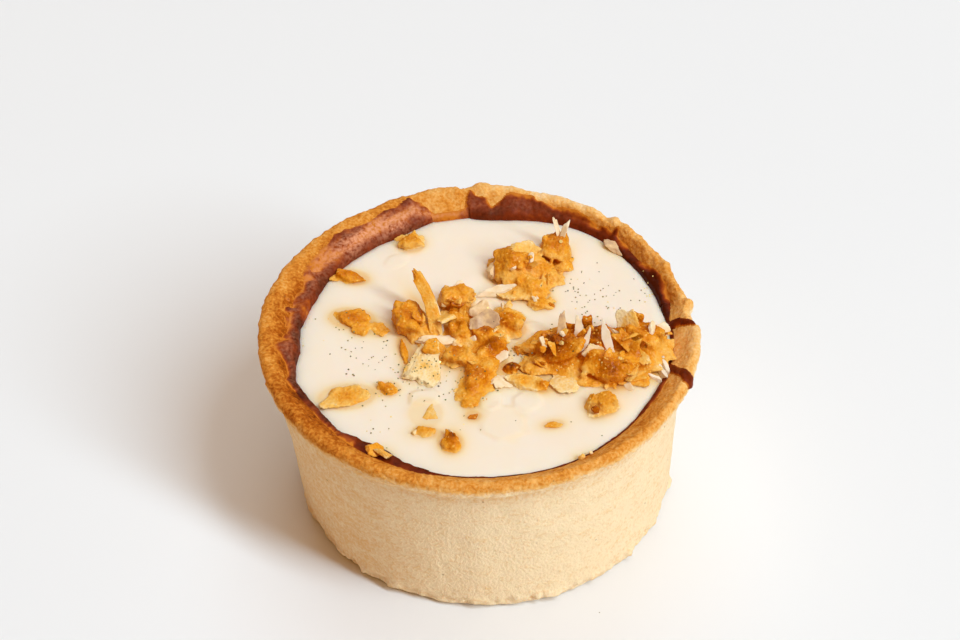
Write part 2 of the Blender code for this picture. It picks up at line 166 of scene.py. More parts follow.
def hashed(cell: Array, seed: int) -> Array:
    """Draw a number from 0 to 1 for each cell of a lattice, the same each time.

    Args:
        cell: whole X, Y and Z of each cell, last.
        seed: which pattern to draw from.

    Returns:
        One number for each cell.
    """
    x, y, z = np.moveaxis(cell, -1, 0)
    mixed = (x * 73856093) ^ (y * 19349663) ^ (z * 83492791) ^ (seed * 2654435761)
    for shift, factor in ((13, 1274126177), (15, 668265263)):
        mixed = ((mixed ^ (mixed >> shift)) * factor) & HASH_TOP
    return (mixed ^ (mixed >> 16)) / HASH_TOP


def lumps(points: Array, size: Array | float, seed: int) -> Array:
    """Smooth random lumps, by value noise on a lattice.

    Args:
        points: where to read it, with X, Y and Z last, in millimetres.
        size: how far apart the lumps are, in millimetres, as one number or one for each axis.
        seed: which pattern to read.

    Returns:
        A height from -1 to 1 for each point.
    """
    scaled = points / size
    cell = np.floor(scaled).astype(np.int64)
    part = scaled - cell
    part = part * part * (3.0 - 2.0 * part)
    total = np.zeros(points.shape[:-1])
    for corner in np.ndindex(2, 2, 2):
        weight = np.prod(np.where(corner, part, 1.0 - part), axis=-1)
        total += weight * (2.0 * hashed(cell + corner, seed) - 1.0)
    return total


def grains(points: Array, size: float, seed: int) -> Array:
    """Packed grains, as crumb and broken sugar have them.

    Args:
        points: where to read it, with X, Y and Z last, in millimetres.
        size: about how wide a grain is, in millimetres.
        seed: which pattern to read.

    Returns:
        For each point, 1 at the middle of a grain, falling to about 0 in the creases between grains.
    """
    scaled = points / size
    cell = np.floor(scaled).astype(np.int64)
    nearest = np.full(points.shape[:-1], 9.0)
    for corner in np.ndindex(3, 3, 3):
        there = cell + corner - 1
        middle = there + np.stack([hashed(there, seed + axis) for axis in (0, 101, 202)], axis=-1)
        nearest = np.minimum(nearest, ((middle - scaled) ** 2).sum(axis=-1))
    return 1.0 - np.sqrt(nearest)
class Layer(NamedTuple):
    """A layer of relief: its height and its lumps' size in mm, its pattern, and whether it is grains."""

    height: float
    size: float
    seed: int
    packed: bool = False


def layered(points: Array, layers: tuple[Layer, ...]) -> Array:
    """Sum of several layers of lumps or packed grains at each point."""
    total = np.zeros(points.shape[:-1])
    for height, size, seed, packed in layers:
        total += height * (grains(points, size, seed) - 0.5 if packed else lumps(points, size, seed))
    return total


def lengths(line: Array) -> Array:
    """How far along a polyline each of its points lies."""
    return np.concatenate(([0.0], np.cumsum(np.hypot(*np.diff(line, axis=0).T))))


def walk(corners: list[Pair], spacing: float) -> list[Pair]:
    """Points at an even spacing along a polyline, its end left out.

    Args:
        corners: the polyline's corners.
        spacing: about how far apart the points are.

    Returns:
        The points, from the first corner on.
    """
    line = np.array(corners)
    reached = lengths(line)
    count = max(int(round(reached[-1] / spacing)), 1)
    steps = np.linspace(0.0, reached[-1], count, endpoint=False)
    return list(zip(np.interp(steps, reached, line[:, 0]), np.interp(steps, reached, line[:, 1])))


def normals_of(grid: Array) -> Array:
    """Outward unit normals of a grid whose columns run round the axis and whose rows run outwards."""
    along = np.gradient(grid, axis=0)
    around = (np.roll(grid, -1, axis=1) - np.roll(grid, 1, axis=1)) / 2.0
    normal = np.cross(along, around)
    return normal / np.maximum(np.linalg.norm(normal, axis=-1, keepdims=True), 1e-9)


def closed_loft(name: str, grid: Array, values: dict[str, Array]) -> bpy.types.Object:
    """Skin a grid that wraps round the axis, and close its first and last row to a point.

    Args:
        name: the new object's name.
        grid: rows of columns of points, in millimetres, with faces that point out where rows run outwards.
        values: for each attribute, a number at each point of the grid.

    Returns:
        The new object, shaded smooth.
    """
    rows, columns = grid.shape[:2]
    poles = [grid[0].mean(axis=0), grid[-1].mean(axis=0)]
    points = np.concatenate((grid.reshape(-1, 3), poles))
    here = np.arange(rows * columns).reshape(rows, columns)
    after = np.roll(here, -1, axis=1)
    quads = np.stack((here[:-1], here[1:], after[1:], after[:-1]), axis=-1).reshape(-1, 4)
    first, last = rows * columns, rows * columns + 1
    fans = [(first, a, b) for a, b in zip(here[0], after[0])]
    fans += [(last, b, a) for a, b in zip(here[-1], after[-1])]
    padded = {
        key: np.concatenate((value.reshape(-1), [value[0].mean(), value[-1].mean()]))
        for key, value in values.items()
    }
    return skin(name, points, quads.tolist() + fans, padded)


def skin(name: str, points: Array, faces: list, values: dict[str, Array]) -> bpy.types.Object:
    """Make an object from points in millimetres and faces.

    Args:
        name: the new object's name.
        points: one row of X, Y and Z for each point.
        faces: the point numbers of each face.
        values: for each attribute, a number at each point.

    Returns:
        The new object, shaded smooth.
    """
    mesh = bpy.data.meshes.new(name)
    mesh.from_pydata((points * MM).tolist(), [], faces)
    for key, value in values.items():
        mesh.attributes.new(key, "FLOAT", "POINT").data.foreach_set("value", value.astype(np.float32))
    mesh.shade_smooth()
    mesh.update()
    made = bpy.data.objects.new(name, mesh)
    bpy.context.scene.collection.objects.link(made)
    return made


def settle(piece: bpy.types.Object, slot: str, *nodes: str) -> bpy.types.Object:
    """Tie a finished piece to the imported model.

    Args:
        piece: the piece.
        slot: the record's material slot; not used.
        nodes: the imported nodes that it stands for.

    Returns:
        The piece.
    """
    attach(piece, BODY)
    if nodes:
        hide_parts(*nodes)
    return piece


# ---- Finishes ----


class Texture(Enum):
    """What patterns are drawn with: the texture's node, and which of its outputs is read."""

    CLOUDS = ("TexNoise", "Fac")
    CELLS = ("TexVoronoi", "Distance")
    SHARDS = ("TexVoronoi", "Color")


class Pattern(NamedTuple):
    """One pattern of a finish.

    Size is how large its parts are in mm, push how far it moves the tone, detail how many finer layers it
    has, and flatter how much lower than wide its parts are.
    """

    texture: Texture
    size: float
    push: float = 0.0
    detail: float = 0.0
    flatter: float = 1.0

    def draw(self, tree: bpy.types.NodeTree) -> bpy.types.NodeSocket:
        """Add the pattern to a tree and return its output."""
        place = add_node(tree, "TexCoord").outputs["Object"]
        if self.flatter != 1.0:
            inputs = {0: place, 1: (1.0, 1.0, self.flatter)}
            place = add_node(tree, "VectorMath", inputs, operation="MULTIPLY").outputs[0]
        kind, output = self.texture.value
        inputs = {"Vector": place, "Scale": 1.0 / (self.size * MM), "Detail": self.detail}
        return add_node(tree, kind, inputs).outputs[output]


class Marks(NamedTuple):
    """Marks of another colour over a finish.

    They run from where the pattern has the value start to where it has the value full, cover at most strength
    of what is under them, and lie only where the mesh's attribute says so, if one is named.
    """

    colour: str
    pattern: Pattern
    start: float
    full: float
    strength: float = 1.0
    where: str = ""

    def lay(self, tree: bpy.types.NodeTree, under: bpy.types.NodeSocket) -> bpy.types.NodeSocket:
        """Add the marks to a tree, over a colour, and return the colour with its marks."""
        drawn = self.pattern.draw(tree)
        inputs = {"Value": drawn, "From Min": self.start, "From Max": self.full, "To Max": self.strength}
        share = add_node(tree, "MapRange", inputs).outputs[0]
        if self.where:
            limit = add_node(tree, "Attribute", attribute_name=self.where).outputs["Fac"]
            share = add_node(tree, "Math", {0: share, 1: limit}, operation="MULTIPLY").outputs[0]
        inputs = {"Factor": share, "A": under, "B": linear(self.colour)}
        return add_node(tree, "Mix", inputs, data_type="RGBA").outputs["Result"]


@dataclass(frozen=True)
class Finish:
    """A finish that is made as one node material.

    The mesh's own tone, pushed up and down by patterns, is read on a ramp of colours, with marks over it.
    The last pattern is also a relief that is too fine for the mesh.  A finish with a single stop is plain.
    """

    name: str = "finish"
    tone: str = "tone"  # the mesh's attribute that holds it
    stops: Stops = ()
    patterns: tuple[Pattern, ...] = ()
    offset: float = 0.0  # about what the patterns add to the tone in the mean
    relief: float = 0.0  # mm
    relief_strength: float = 1.0
    marks: Marks | None = None
    metallic: float = 0.0
    roughness: float = 0.5
    ior: float = 1.5
    specular: float = 0.5
    scatter: float = 0.0  # the share of light that goes in and comes out again
    scatter_depth: float = 1.0  # mm
    scatter_tint: tuple[float, float, float] = (1.0, 1.0, 1.0)

    def _patterned(self, tree: bpy.types.NodeTree) -> dict[str, bpy.types.NodeSocket]:
        """Add tone, patterns, ramp and marks to a tree, and return what the shader gets of them."""
        tone = add_node(tree, "Attribute", attribute_name=self.tone).outputs["Fac"]
        given = {}
        for pattern in self.patterns:
            drawn = pattern.draw(tree)
            pushed = {0: drawn, 1: pattern.push, 2: tone}
            tone = add_node(tree, "Math", pushed, operation="MULTIPLY_ADD").outputs[0]
        if self.patterns:
            tone = add_node(tree, "Math", {0: tone, 1: self.offset}, operation="SUBTRACT").outputs[0]
            relief = {"Height": drawn, "Distance": self.relief * MM, "Strength": self.relief_strength}
            given["Normal"] = add_node(tree, "Bump", relief).outputs["Normal"]
        colour = add_node(tree, "ValToRGB", {"Fac": tone}, stops=self.stops).outputs["Color"]
        given["Base Color"] = self.marks.lay(tree, colour) if self.marks else colour
        return given

    def material(self) -> bpy.types.Material:
        """Make the material."""
        made = bpy.data.materials.new(self.name)
        made.use_nodes = True
        tree = made.node_tree
        tree.nodes.clear()
        looks = {
            "Base Color": linear(self.stops[0][1]),
            "Metallic": self.metallic,
            "Roughness": self.roughness,
            "IOR": self.ior,
            "Specular IOR Level": self.specular,
        }
        if self.scatter:
            looks["Subsurface Weight"] = self.scatter
            looks["Subsurface Scale"] = self.scatter_depth * MM
            looks["Subsurface Radius"] = self.scatter_tint
        if len(self.stops) > 1:
            looks |= self._patterned(tree)
        shader = add_node(tree, "BsdfPrincipled", looks)
        add_node(tree, "OutputMaterial", {"Surface": shader.outputs[0]})
        return made


@dataclass(frozen=True)
class BakedShortcrust(Finish):
    """Sweet shortcrust, baked in a ring: pale and sandy by the ring, golden where hot air reached it."""

    name: str = "shortcrust_baked"
    tone: str = "browning"
    # From the pale ring side, over the fringe and the golden lip, to the dark crust beside the chocolate.
    stops: Stops = (
        (0.00, "#FFE2B7"), (0.16, "#F6CE98"), (0.38, "#F0B566"), (0.60, "#DC8D34"), (0.80, "#B05A12"),
        (1.00, "#6E2E06"),
    )
    patterns: tuple[Pattern, ...] = (
        Pattern(Texture.CLOUDS, 1.7, 0.38, 4.0, 2.0),  # uneven browning, in the dough's flat layers
        Pattern(Texture.CLOUDS, 0.30, 0.54, 2.0),  # sugar and flour, a little coarse so that they show
    )
    offset: float = 0.47
    relief: float = 0.16
    relief_strength: float = 0.9
    marks: Marks = Marks("#8C6234", Pattern(Texture.CELLS, 2.6), 0.055, 0.03, 0.55)  # specks of bran
    roughness: float = 0.72
    ior: float = 1.45
    specular: float = 0.04
    scatter: float = 0.12
    scatter_depth: float = 0.8
    scatter_tint: tuple[float, float, float] = (1.0, 0.55, 0.3)


@dataclass(frozen=True)
class BrushedChocolate(Finish):
    """Dark chocolate, brushed on warm: reddish where thin, nearly black where it pooled, satin all over."""

    name: str = "dark_chocolate_brushed"
    tone: str = "depth"
    # By the coat's depth, from a smear that the crust shows through to a thick ridge.
    stops: Stops = ((0.00, "#C9741E"), (0.25, "#A34A12"), (0.55, "#7C2C0A"), (1.00, "#4A1604"))
    patterns: tuple[Pattern, ...] = (Pattern(Texture.CLOUDS, 0.5, 0.6, 3.0),)  # brush marks
    offset: float = 0.30
    relief: float = 0.08
    relief_strength: float = 0.6
    # Painted highlight: light grains over the brush ridges, mostly on the smear.
    marks: Marks = Marks("#E49C74", Pattern(Texture.CLOUDS, 0.34, detail=2.0), 0.30, 0.66, where="painted_sheen")
    roughness: float = 0.42
    ior: float = 1.47
    specular: float = 0.06


@dataclass(frozen=True)
class SetLemonCream(Finish):
    """Lemon cream, poured and set: pale, smooth, softly translucent, stained where caramel bled into it, with
    a painted contact shadow round what lies on it.
    """

    name: str = "lemon_cream_set"
    tone: str = "stain"
    stops: Stops = ((0.00, "#F4E3CE"), (0.30, "#F3D9B0"), (0.65, "#EDC280"), (1.00, "#E0A04A"))
    patterns: tuple[Pattern, ...] = (Pattern(Texture.CLOUDS, 3.0, 0.16, 2.0),)  # a poured top's faint swells
    offset: float = 0.08
    relief: float = 0.2
    relief_strength: float = 0.15
    roughness: float = 0.38
    ior: float = 1.42
    scatter: float = 0.45
    scatter_depth: float = 2.0
    scatter_tint: tuple[float, float, float] = (1.0, 0.7, 0.4)


@dataclass(frozen=True)
class BrokenCaramel(Finish):
    """Caramel nougatine, boiled, set and broken: clear amber, gritty where it broke, glossy elsewhere."""

    name: str = "caramel_broken"
    # From a thin edge that the cream shines through to a thick, dark part.
    stops: Stops = (
        (0.00, "#F5DAA6"), (0.20, "#F0BA5C"), (0.42, "#EA9C2A"), (0.62, "#D27608"), (0.82, "#A85204"),
        (1.00, "#5E2604"),
    )
    patterns: tuple[Pattern, ...] = (
        Pattern(Texture.CLOUDS, 1.1, 0.40, 2.0),  # cloudy and clear parts
        Pattern(Texture.CELLS, 0.28, -0.16),  # broken sugar
    )
    offset: float = 0.14
    relief: float = 0.09
    relief_strength: float = 0.6
    marks: Marks = Marks("#FFD068", Pattern(Texture.SHARDS, 0.18), 0.82, 0.90, 0.55)  # painted glints: bright specks on clean faces
    roughness: float = 0.24
    specular: float = 0.10
    scatter: float = 0.2
    scatter_depth: float = 0.15
    scatter_tint: tuple[float, float, float] = (1.0, 0.92, 0.84)


@dataclass(frozen=True)
class ToastedAlmond(Finish):
    """Shaved almond, toasted in syrup: thin, waxy and pale, with darker toasted parts and a glaze."""

    name: str = "almond_shaved_toasted"
    stops: Stops = ((0.00, "#F8E6CC"), (0.35, "#F4DAB0"), (0.65, "#EAC48E"), (1.00, "#C49C78"))
    patterns: tuple[Pattern, ...] = (Pattern(Texture.CLOUDS, 0.6, 0.8, 2.0),)  # fibres
    offset: float = 0.40
    relief: float = 0.06
    relief_strength: float = 0.4
    roughness: float = 0.34
    ior: float = 1.47
    specular: float = 0.2
    scatter: float = 0.2
    scatter_depth: float = 0.15
    scatter_tint: tuple[float, float, float] = (1.0, 0.95, 0.9)


@dataclass(frozen=True)
class GoldFlake(Finish):
    """Edible gold dust, milled: olive, with bright flakes that are painted highlights."""

    name: str = "gold_dust_milled"
    tone: str = "shine"
    stops: Stops = ((0.0, "#54481E"), (1.0, "#FFE08A"))
    metallic: float = 0.15
    roughness: float = 0.30


@dataclass(frozen=True)
class StudioPaper(Finish):
    """The pale, matt sweep that the tartlet stands on."""

    name: str = "paper_matt"
    stops: Stops = ((0.0, "#EDEDED"),)
    roughness: float = 0.9


# ---- The pressed form that crust, coat and cream share ----


class Feature(NamedTuple):
    """A bump or bite of the form: azimuth and half width in degrees, how far out and how far up in mm."""

    azimuth: float
    half_width: float
    out: float
    up: float = 0.0


@dataclass(frozen=True)
class PressedForm:
    """The form of the hand-pressed tartlet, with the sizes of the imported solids."""

    height: float = 21.55
    rim_radius: float = 23.0
    crown_radius: float = 22.1
    lip_bottom: float = 20.1
    wall_top_radius: float = 21.5
    wall_foot_radius: float = 19.95
    foot_radius: float = 18.9
    floor_top: float = 3.0
    cavity_radius: float = 20.3
    cavity_floor_radius: float = 17.8
    floor_corner: float = 1.7
    slope_roundness: float = 1.6
    cream_level: float = 20.05
    foot_shift: float = 0.77
    rim_shift: float = -0.15
    cavity_shift: float = 0.60
    cavity_forward: float = 0.40
    lip_fade: float = 1.5
    lip_blend: float = 2.0
    foot_fade: float = 1.5
    cavity_fade_radius: Pair = (0.70, 0.95)
    cavity_fade_level: Pair = (0.50, 0.90)
    wave: float = 0.12
    wavelength: float = 5.0
    rim_features: tuple[Feature, ...] = (
        Feature(-5.0, 9.0, 0.25, 0.25), Feature(7.0, 3.0, -0.60, -0.20), Feature(18.0, 6.0, -0.50, -0.10),
        Feature(46.0, 6.0, 0.40, 0.05), Feature(65.0, 12.0, 0.25, 0.20), Feature(83.0, 6.0, 0.35, 0.25),
        Feature(90.0, 3.0, 0.40, 0.35), Feature(93.5, 2.5, -0.30, -0.35), Feature(101.0, 6.0, 0.35, 0.20),
        Feature(111.5, 2.5, -0.25, -0.30), Feature(122.0, 6.0, -0.20), Feature(170.0, 6.0, 0.15),
    )
    cavity_features: tuple[Feature, ...] = (
        Feature(55.0, 19.0, 0.80), Feature(100.0, 8.0, 0.40), Feature(137.0, 22.0, -0.35),
        Feature(198.0, 10.0, 0.45),
    )

    def inner(self, height: Array | float) -> Array:
        """Radius of the inside of the case at a height."""
        share = np.clip((height - self.floor_top) / (self.cream_level - self.floor_top), 0.0, 1.0)
        return self.cavity_floor_radius + share * (self.cavity_radius - self.cavity_floor_radius)

    def wall(self, height: Array | float) -> Array:
        """Radius of the outside of the wall at a height."""
        spread = self.wall_top_radius - self.wall_foot_radius
        return self.wall_foot_radius + height / self.lip_bottom * spread

    def slope(self, share: float) -> Pair:
        """Radius and height on the slope inside the rim, from the cream's level (0) to the crown (1)."""
        radius = self.cavity_radius + share * (self.crown_radius - self.cavity_radius)
        rise = 1.0 - (1.0 - share) ** self.slope_roundness
        return radius, self.cream_level + rise * (self.height - self.cream_level)

    @staticmethod
    def bulge(features: tuple[Feature, ...], azimuth: Array) -> tuple[Array, Array]:
        """How far out and up the features move a point at each azimuth in degrees."""
        out, up = np.zeros_like(azimuth), np.zeros_like(azimuth)
        for feature in features:
            weight = np.exp(-((turn_between(azimuth, feature.azimuth) / feature.half_width) ** 4))
            out = out + weight * feature.out
            up = up + weight * feature.up
        return out, up

    def place(self, radius: Array, azimuth: Array, height: Array) -> Array:
        """Move points of the ideal turned form to where the pressed one has them.

        Args:
            radius: distance from the axis.
            azimuth: azimuth in degrees.
            height: height above the foot.

        Returns:
            X, Y and Z of each point, last.
        """
        turn = np.radians(azimuth)
        lip_radius = self.rim_radius * smooth_step(self.lip_bottom - self.lip_blend, self.lip_bottom, height)
        outer = np.maximum(self.wall(height), lip_radius)
        outwards = smooth_step(self.inner(height), outer, radius)
        outer_shift = self.foot_shift + height / self.height * (self.rim_shift - self.foot_shift)
        shift = self.cavity_shift + outwards * (outer_shift - self.cavity_shift)
        near, far = (share * self.cavity_radius for share in self.cavity_fade_radius)
        low, high = (share * self.cream_level for share in self.cavity_fade_level)
        in_cavity = plateau(radius, (near, far), (self.cavity_radius, self.crown_radius))
        in_cavity = in_cavity * smooth_step(low, high, height)
        in_lip = smooth_step(self.cavity_radius, self.rim_radius, radius)
        in_lip = in_lip * smooth_step(self.lip_bottom - self.lip_fade, self.height, height)
        in_crust = outwards * smooth_step(0.0, self.foot_fade, height)
        ideal = np.stack((radius * np.cos(turn), radius * np.sin(turn), height), axis=-1) / self.wavelength
        waves = [noise.noise(Vector(point)) for point in ideal.reshape(-1, 3)]
        lip_out, lip_up = self.bulge(self.rim_features, azimuth)
        cavity_out = self.bulge(self.cavity_features, azimuth)[0]
        radius = radius + in_lip * lip_out + in_cavity * cavity_out
        radius = radius + in_crust * self.wave * np.reshape(waves, radius.shape)
        return np.stack(
            (
                shift + radius * np.cos(turn),
                radius * np.sin(turn) - (1.0 - outwards) * self.cavity_forward,
                height + in_lip * lip_up,
            ),
            axis=-1,
        )


# ---- Crust, coat and cream ----


class Spot(NamedTuple):
    """A place round the axis, by its azimuth and half width in degrees, and how much it adds there."""

    azimuth: float
    half_width: float
    amount: float


def spotted(azimuth: Array, spots: tuple[Spot, ...]) -> Array:
    """Sum of what several spots add at each azimuth in degrees."""
    return sum(spot.amount * facing(azimuth, spot.azimuth, spot.half_width) for spot in spots)


@dataclass
class PastryCrust:
    """The baked case: floor, wall and lip, with crumb, cracks, pores and torn edges as relief.

    Places along its section are in mm from the crown, negative inside.
    """

    form: PressedForm
    finish: BakedShortcrust = field(default_factory=BakedShortcrust)
    columns: int = 720
    floor_step: float = 3.0
    lip_step: float = 0.13
    wall_step: float = 0.37
    under_step: float = 4.0
    hub: float = 0.5  # radius of the first row and the last one
    fine_below: float = 1.2  # how far under the cream's level the fine rows start
    corner_round: int = 3
    lip_outside: Places = ((-0.40, -0.06), (-0.10, -0.35), (0.0, -0.75))  # from the rim's radius and height
    lip_underside: Places = ((-0.12, 0.06), (-0.60, -0.12))  # from the rim's radius and the lip's lower edge
    wall_below: float = 0.3  # how far under the lip the wall starts
    foot_from: float = 1.3  # the height under which the wall curves in
    foot_curve: Places = ((19.70, 0.45), (19.20, 0.08))  # radius and height
    lip_length: float = 2.4  # from the crown, over the outside of the lip, to its lower edge
    under_length: float = 3.2  # from the crown to where the wall starts
    overhang: float = 0.28  # how far the crumbly lower edge of the lip stands out
    # Where the bare crust comes further in than the form, at the cream: azimuth, distance from the axis.
    inner_edge: Places = (
        (-66.0, 20.3), (-50.0, 20.05), (-40.0, 19.95), (-30.0, 19.8), (-22.0, 19.9), (-10.0, 20.15),
        (0.0, 20.25), (8.0, 20.1), (13.0, 20.6), (18.0, 22.0), (88.0, 22.0), (95.0, 19.6), (104.0, 19.55),
        (110.0, 22.0), (246.0, 22.0), (258.0, 20.2), (270.0, 20.15), (285.0, 20.2), (294.0, 20.3),
    )
    # A dark crack on the outside of the lip: azimuth, then distance from the crown along the section.
    crack: Places = ((-27.5, 2.35), (-24.0, 2.0), (-21.0, 1.35))
    crack_width: float = 0.15
    crack_depth: float = 0.22
    crack_browning: float = 0.6
    # Where the lip's edge is chipped or stands out, in mm.
    chips: tuple[Spot, ...] = (
        Spot(3.2, 1.5, -0.45), Spot(10.6, 1.1, 0.25), Spot(26.5, 1.3, 0.20), Spot(37.5, 1.4, 0.20),
        Spot(41.5, 1.0, -0.15), Spot(45.5, 1.2, 0.20), Spot(49.3, 1.4, 0.35), Spot(52.0, 1.1, -0.25),
        Spot(57.0, 2.0, 0.15), Spot(93.8, 2.2, 0.45), Spot(111.5, 3.0, 0.40),
    )
    merged: Pair = (-45.0, 24.0)  # where the lip's edge runs into the wall: azimuth, half width
    torn: Pair = (38.0, 26.0)  # where the outside of the lip is torn
    lip_relief: tuple[Layer, ...] = (Layer(0.085, 1.3, 1), Layer(0.080, 0.6, 2), Layer(0.140, 0.50, 3, True))
    wall_relief: tuple[Layer, ...] = (Layer(0.070, 2.6, 4), Layer(0.040, 1.1, 5), Layer(0.050, 0.8, 6, True))
    edge_relief: tuple[Layer, ...] = (Layer(0.13, 0.8, 8), Layer(0.10, 0.4, 9))
    heel_relief: tuple[Layer, ...] = (Layer(0.34, 1.3, 10), Layer(0.30, 0.55, 11))
    torn_relief: tuple[Layer, ...] = (Layer(0.24, 1.7, 12), Layer(0.14, 0.7, 13))
    pores: int = 90
    pore_size: Pair = (0.16, 0.34)
    pore_depth: float = 0.14
    seed: int = 7
    ring_browning: float = 0.04  # where the ring held it
    lip_browning: float = 0.56  # how much browner the lip is
    below_browning: float = 0.30  # how much browner the wall is just under it
    fringe_paleness: float = 0.43  # how much paler the lip's lower edge is
    mottling: tuple[Layer, ...] = (Layer(0.065, 1.6, 14), Layer(0.0325, 0.6, 15))
    soaking: float = 0.20  # how much darker the slope is where fat and chocolate have soaked in
    soaked_side: Pair = (188.0, 40.0)
    # Where it is browner or paler round the axis: darker at the left, which is painted shade, paler in front,
    # which is painted light, a paler lip behind and at the right, and a paler outside of the lip behind, which
    # is partly a painted highlight.
    painted_shade_and_light: tuple[Spot, ...] = (Spot(220.0, 30.0, 0.13), Spot(-85.0, 40.0, -0.05))
    lip_tone_and_highlight: tuple[Spot, ...] = (Spot(62.0, 24.0, -0.08), Spot(-4.0, 18.0, -0.26), Spot(88.0, 22.0, -0.08))
    outside_tone_and_highlight: tuple[Spot, ...] = (Spot(62.0, 24.0, -0.28),)

    def __post_init__(self) -> None:
        """Work out the case's surface once, for the crust and for what lies on it."""
        self.section, self.along = self._section()
        self.azimuth = np.arange(self.columns) * 360.0 / self.columns
        self.grid, self.normal = self._surface()

    def _section(self) -> tuple[Array, Array]:
        """Work out the rows of the section.

        Returns:
            Radius and height of each row, from the floor's middle, up the inside and over the lip, to the
            underside's middle, and each row's place along the section.
        """
        form = self.form
        corner = form.floor_top + form.floor_corner
        fine_from = form.cream_level - self.fine_below
        inside = [(self.hub, form.floor_top), (form.cavity_floor_radius - form.floor_corner, form.floor_top)]
        inside += [(form.inner(height), height) for height in (corner, fine_from)]
        slope = [inside[-1]] + [form.slope(share) for share in np.linspace(0.0, 1.0, 9)]
        lip = [slope[-1]] + [(form.rim_radius + out, form.height + up) for out, up in self.lip_outside]
        lip += [(form.rim_radius + out, form.lip_bottom + up) for out, up in self.lip_underside]
        lip.append((form.wall_top_radius, form.lip_bottom - self.wall_below))
        wall = [lip[-1], (form.wall(self.foot_from), self.foot_from)]
        foot = [wall[-1], *self.foot_curve, (form.foot_radius, 0.0)]
        under = [foot[-1], (self.hub, 0.0)]
        rows = walk(inside, self.floor_step) + walk(slope, self.lip_step) + walk(lip, self.lip_step)
        rows += walk(wall, self.wall_step) + walk(foot, self.lip_step) + walk(under, self.under_step)
        line = np.array(rows + [under[-1]])
        crown = int(np.argmax(line[:, 1]))
        fine = line[:, 1] > form.cream_level - 1.0
        for _ in range(self.corner_round):
            smoothed = line.copy()
            smoothed[1:-1] = 0.25 * line[:-2] + 0.5 * line[1:-1] + 0.25 * line[2:]
            line[fine] = smoothed[fine]
        reached = lengths(line)
        return line, reached - reached[crown]

    def _surface(self) -> tuple[Array, Array]:
        """Place the rows round the form and add the relief.

        Returns:
            The points and their outward normals, as rows of columns.
        """
        shape = (len(self.section), self.columns)
        azimuth = np.broadcast_to(self.azimuth, shape)
        radius = np.broadcast_to(self.section[:, :1], shape)
        height = np.broadcast_to(self.section[:, 1:], shape)
        grid = self._drawn_in(self.form.place(radius, azimuth, height))
        grid = grid + normals_of(grid) * self._relief(grid, azimuth)[..., None]
        grid[..., 2] = np.maximum(grid[..., 2], 0.0)
        grid[height[:, 0] <= 0.0, :, 2] = 0.0
        return grid, normals_of(grid)

    def _drawn_in(self, grid: Array) -> Array:
        """Draw the inside of the lip in towards the cream, where the bare crust comes that far."""
        radius, turned = around_axis(grid)
        level = int(np.argmin(np.abs(self.along + 2.6)))
        excess = np.maximum(radius[level] - read_around(self.inner_edge, turned), 0.0)
        weight = plateau(self.along[:, None], (-7.0, -4.0), (-2.6, -0.1))
        grid[..., :2] *= (1.0 - weight * excess / radius)[..., None]
        return grid

    def _crack_share(self, azimuth: Array, along: Array) -> Array:
        """How much the crack on the outside of the lip is felt at each point."""
        turns, line = np.array(self.crack).T
        turned = turn_between(azimuth, 0.0)
        within = plateau(turned, (turns[0] - 0.6, turns[0] + 0.6), (turns[-1] - 0.4, turns[-1] + 0.6))
        return within * hill(0.0, self.crack_width, along - np.interp(turned, turns, line))

    def _relief(self, grid: Array, azimuth: Array) -> Array:
        """How far the baked surface stands off the pressed form, in mm along its normal."""
        along = np.broadcast_to(self.along[:, None], azimuth.shape)
        foot = self.along[-1] - self.form.foot_radius
        edge = hill(self.lip_length - 0.10, 0.35, along) * (1.0 - facing(azimuth, *self.merged))
        relief = edge * self.overhang
        for where, layers in (
            (plateau(along, (-3.0, -1.0), (self.lip_length, self.under_length)), self.lip_relief),
            (plateau(along, (self.lip_length, self.under_length), (foot - 1.0, foot)), self.wall_relief),
            (edge, self.edge_relief),
            (hill(foot - 1.2, 0.7, along), self.heel_relief),
            (facing(azimuth, *self.torn) * hill(1.0, 1.3, along), self.torn_relief),
        ):
            relief = relief + where * layered(grid, layers)
        outside = plateau(along, (-0.6, 0.4), (1.6, self.lip_length))
        relief = relief + outside * spotted(azimuth, self.chips)
        relief = relief - self.crack_depth * self._crack_share(azimuth, along) - self._pores(azimuth, along)
        return smooth_step(-4.0, -3.0, along) * relief

    def _pores(self, azimuth: Array, along: Array) -> Array:
        """Depth in mm of the small pores that gas left in the wall."""
        draw = np.random.default_rng(self.seed)
        depth = np.zeros_like(azimuth)
        for _ in range(self.pores):
            middle = draw.uniform(0.0, 360.0)
            height = draw.uniform(self.under_length + 0.5, self.along[-1] - self.form.foot_radius)
            size = draw.uniform(*self.pore_size)
            away = np.radians(turn_between(azimuth, middle)) * self.form.wall_top_radius
            near = np.exp(-(away**2 + (along - height) ** 2) / size**2)
            depth = np.maximum(depth, near * self.pore_depth)
        return depth

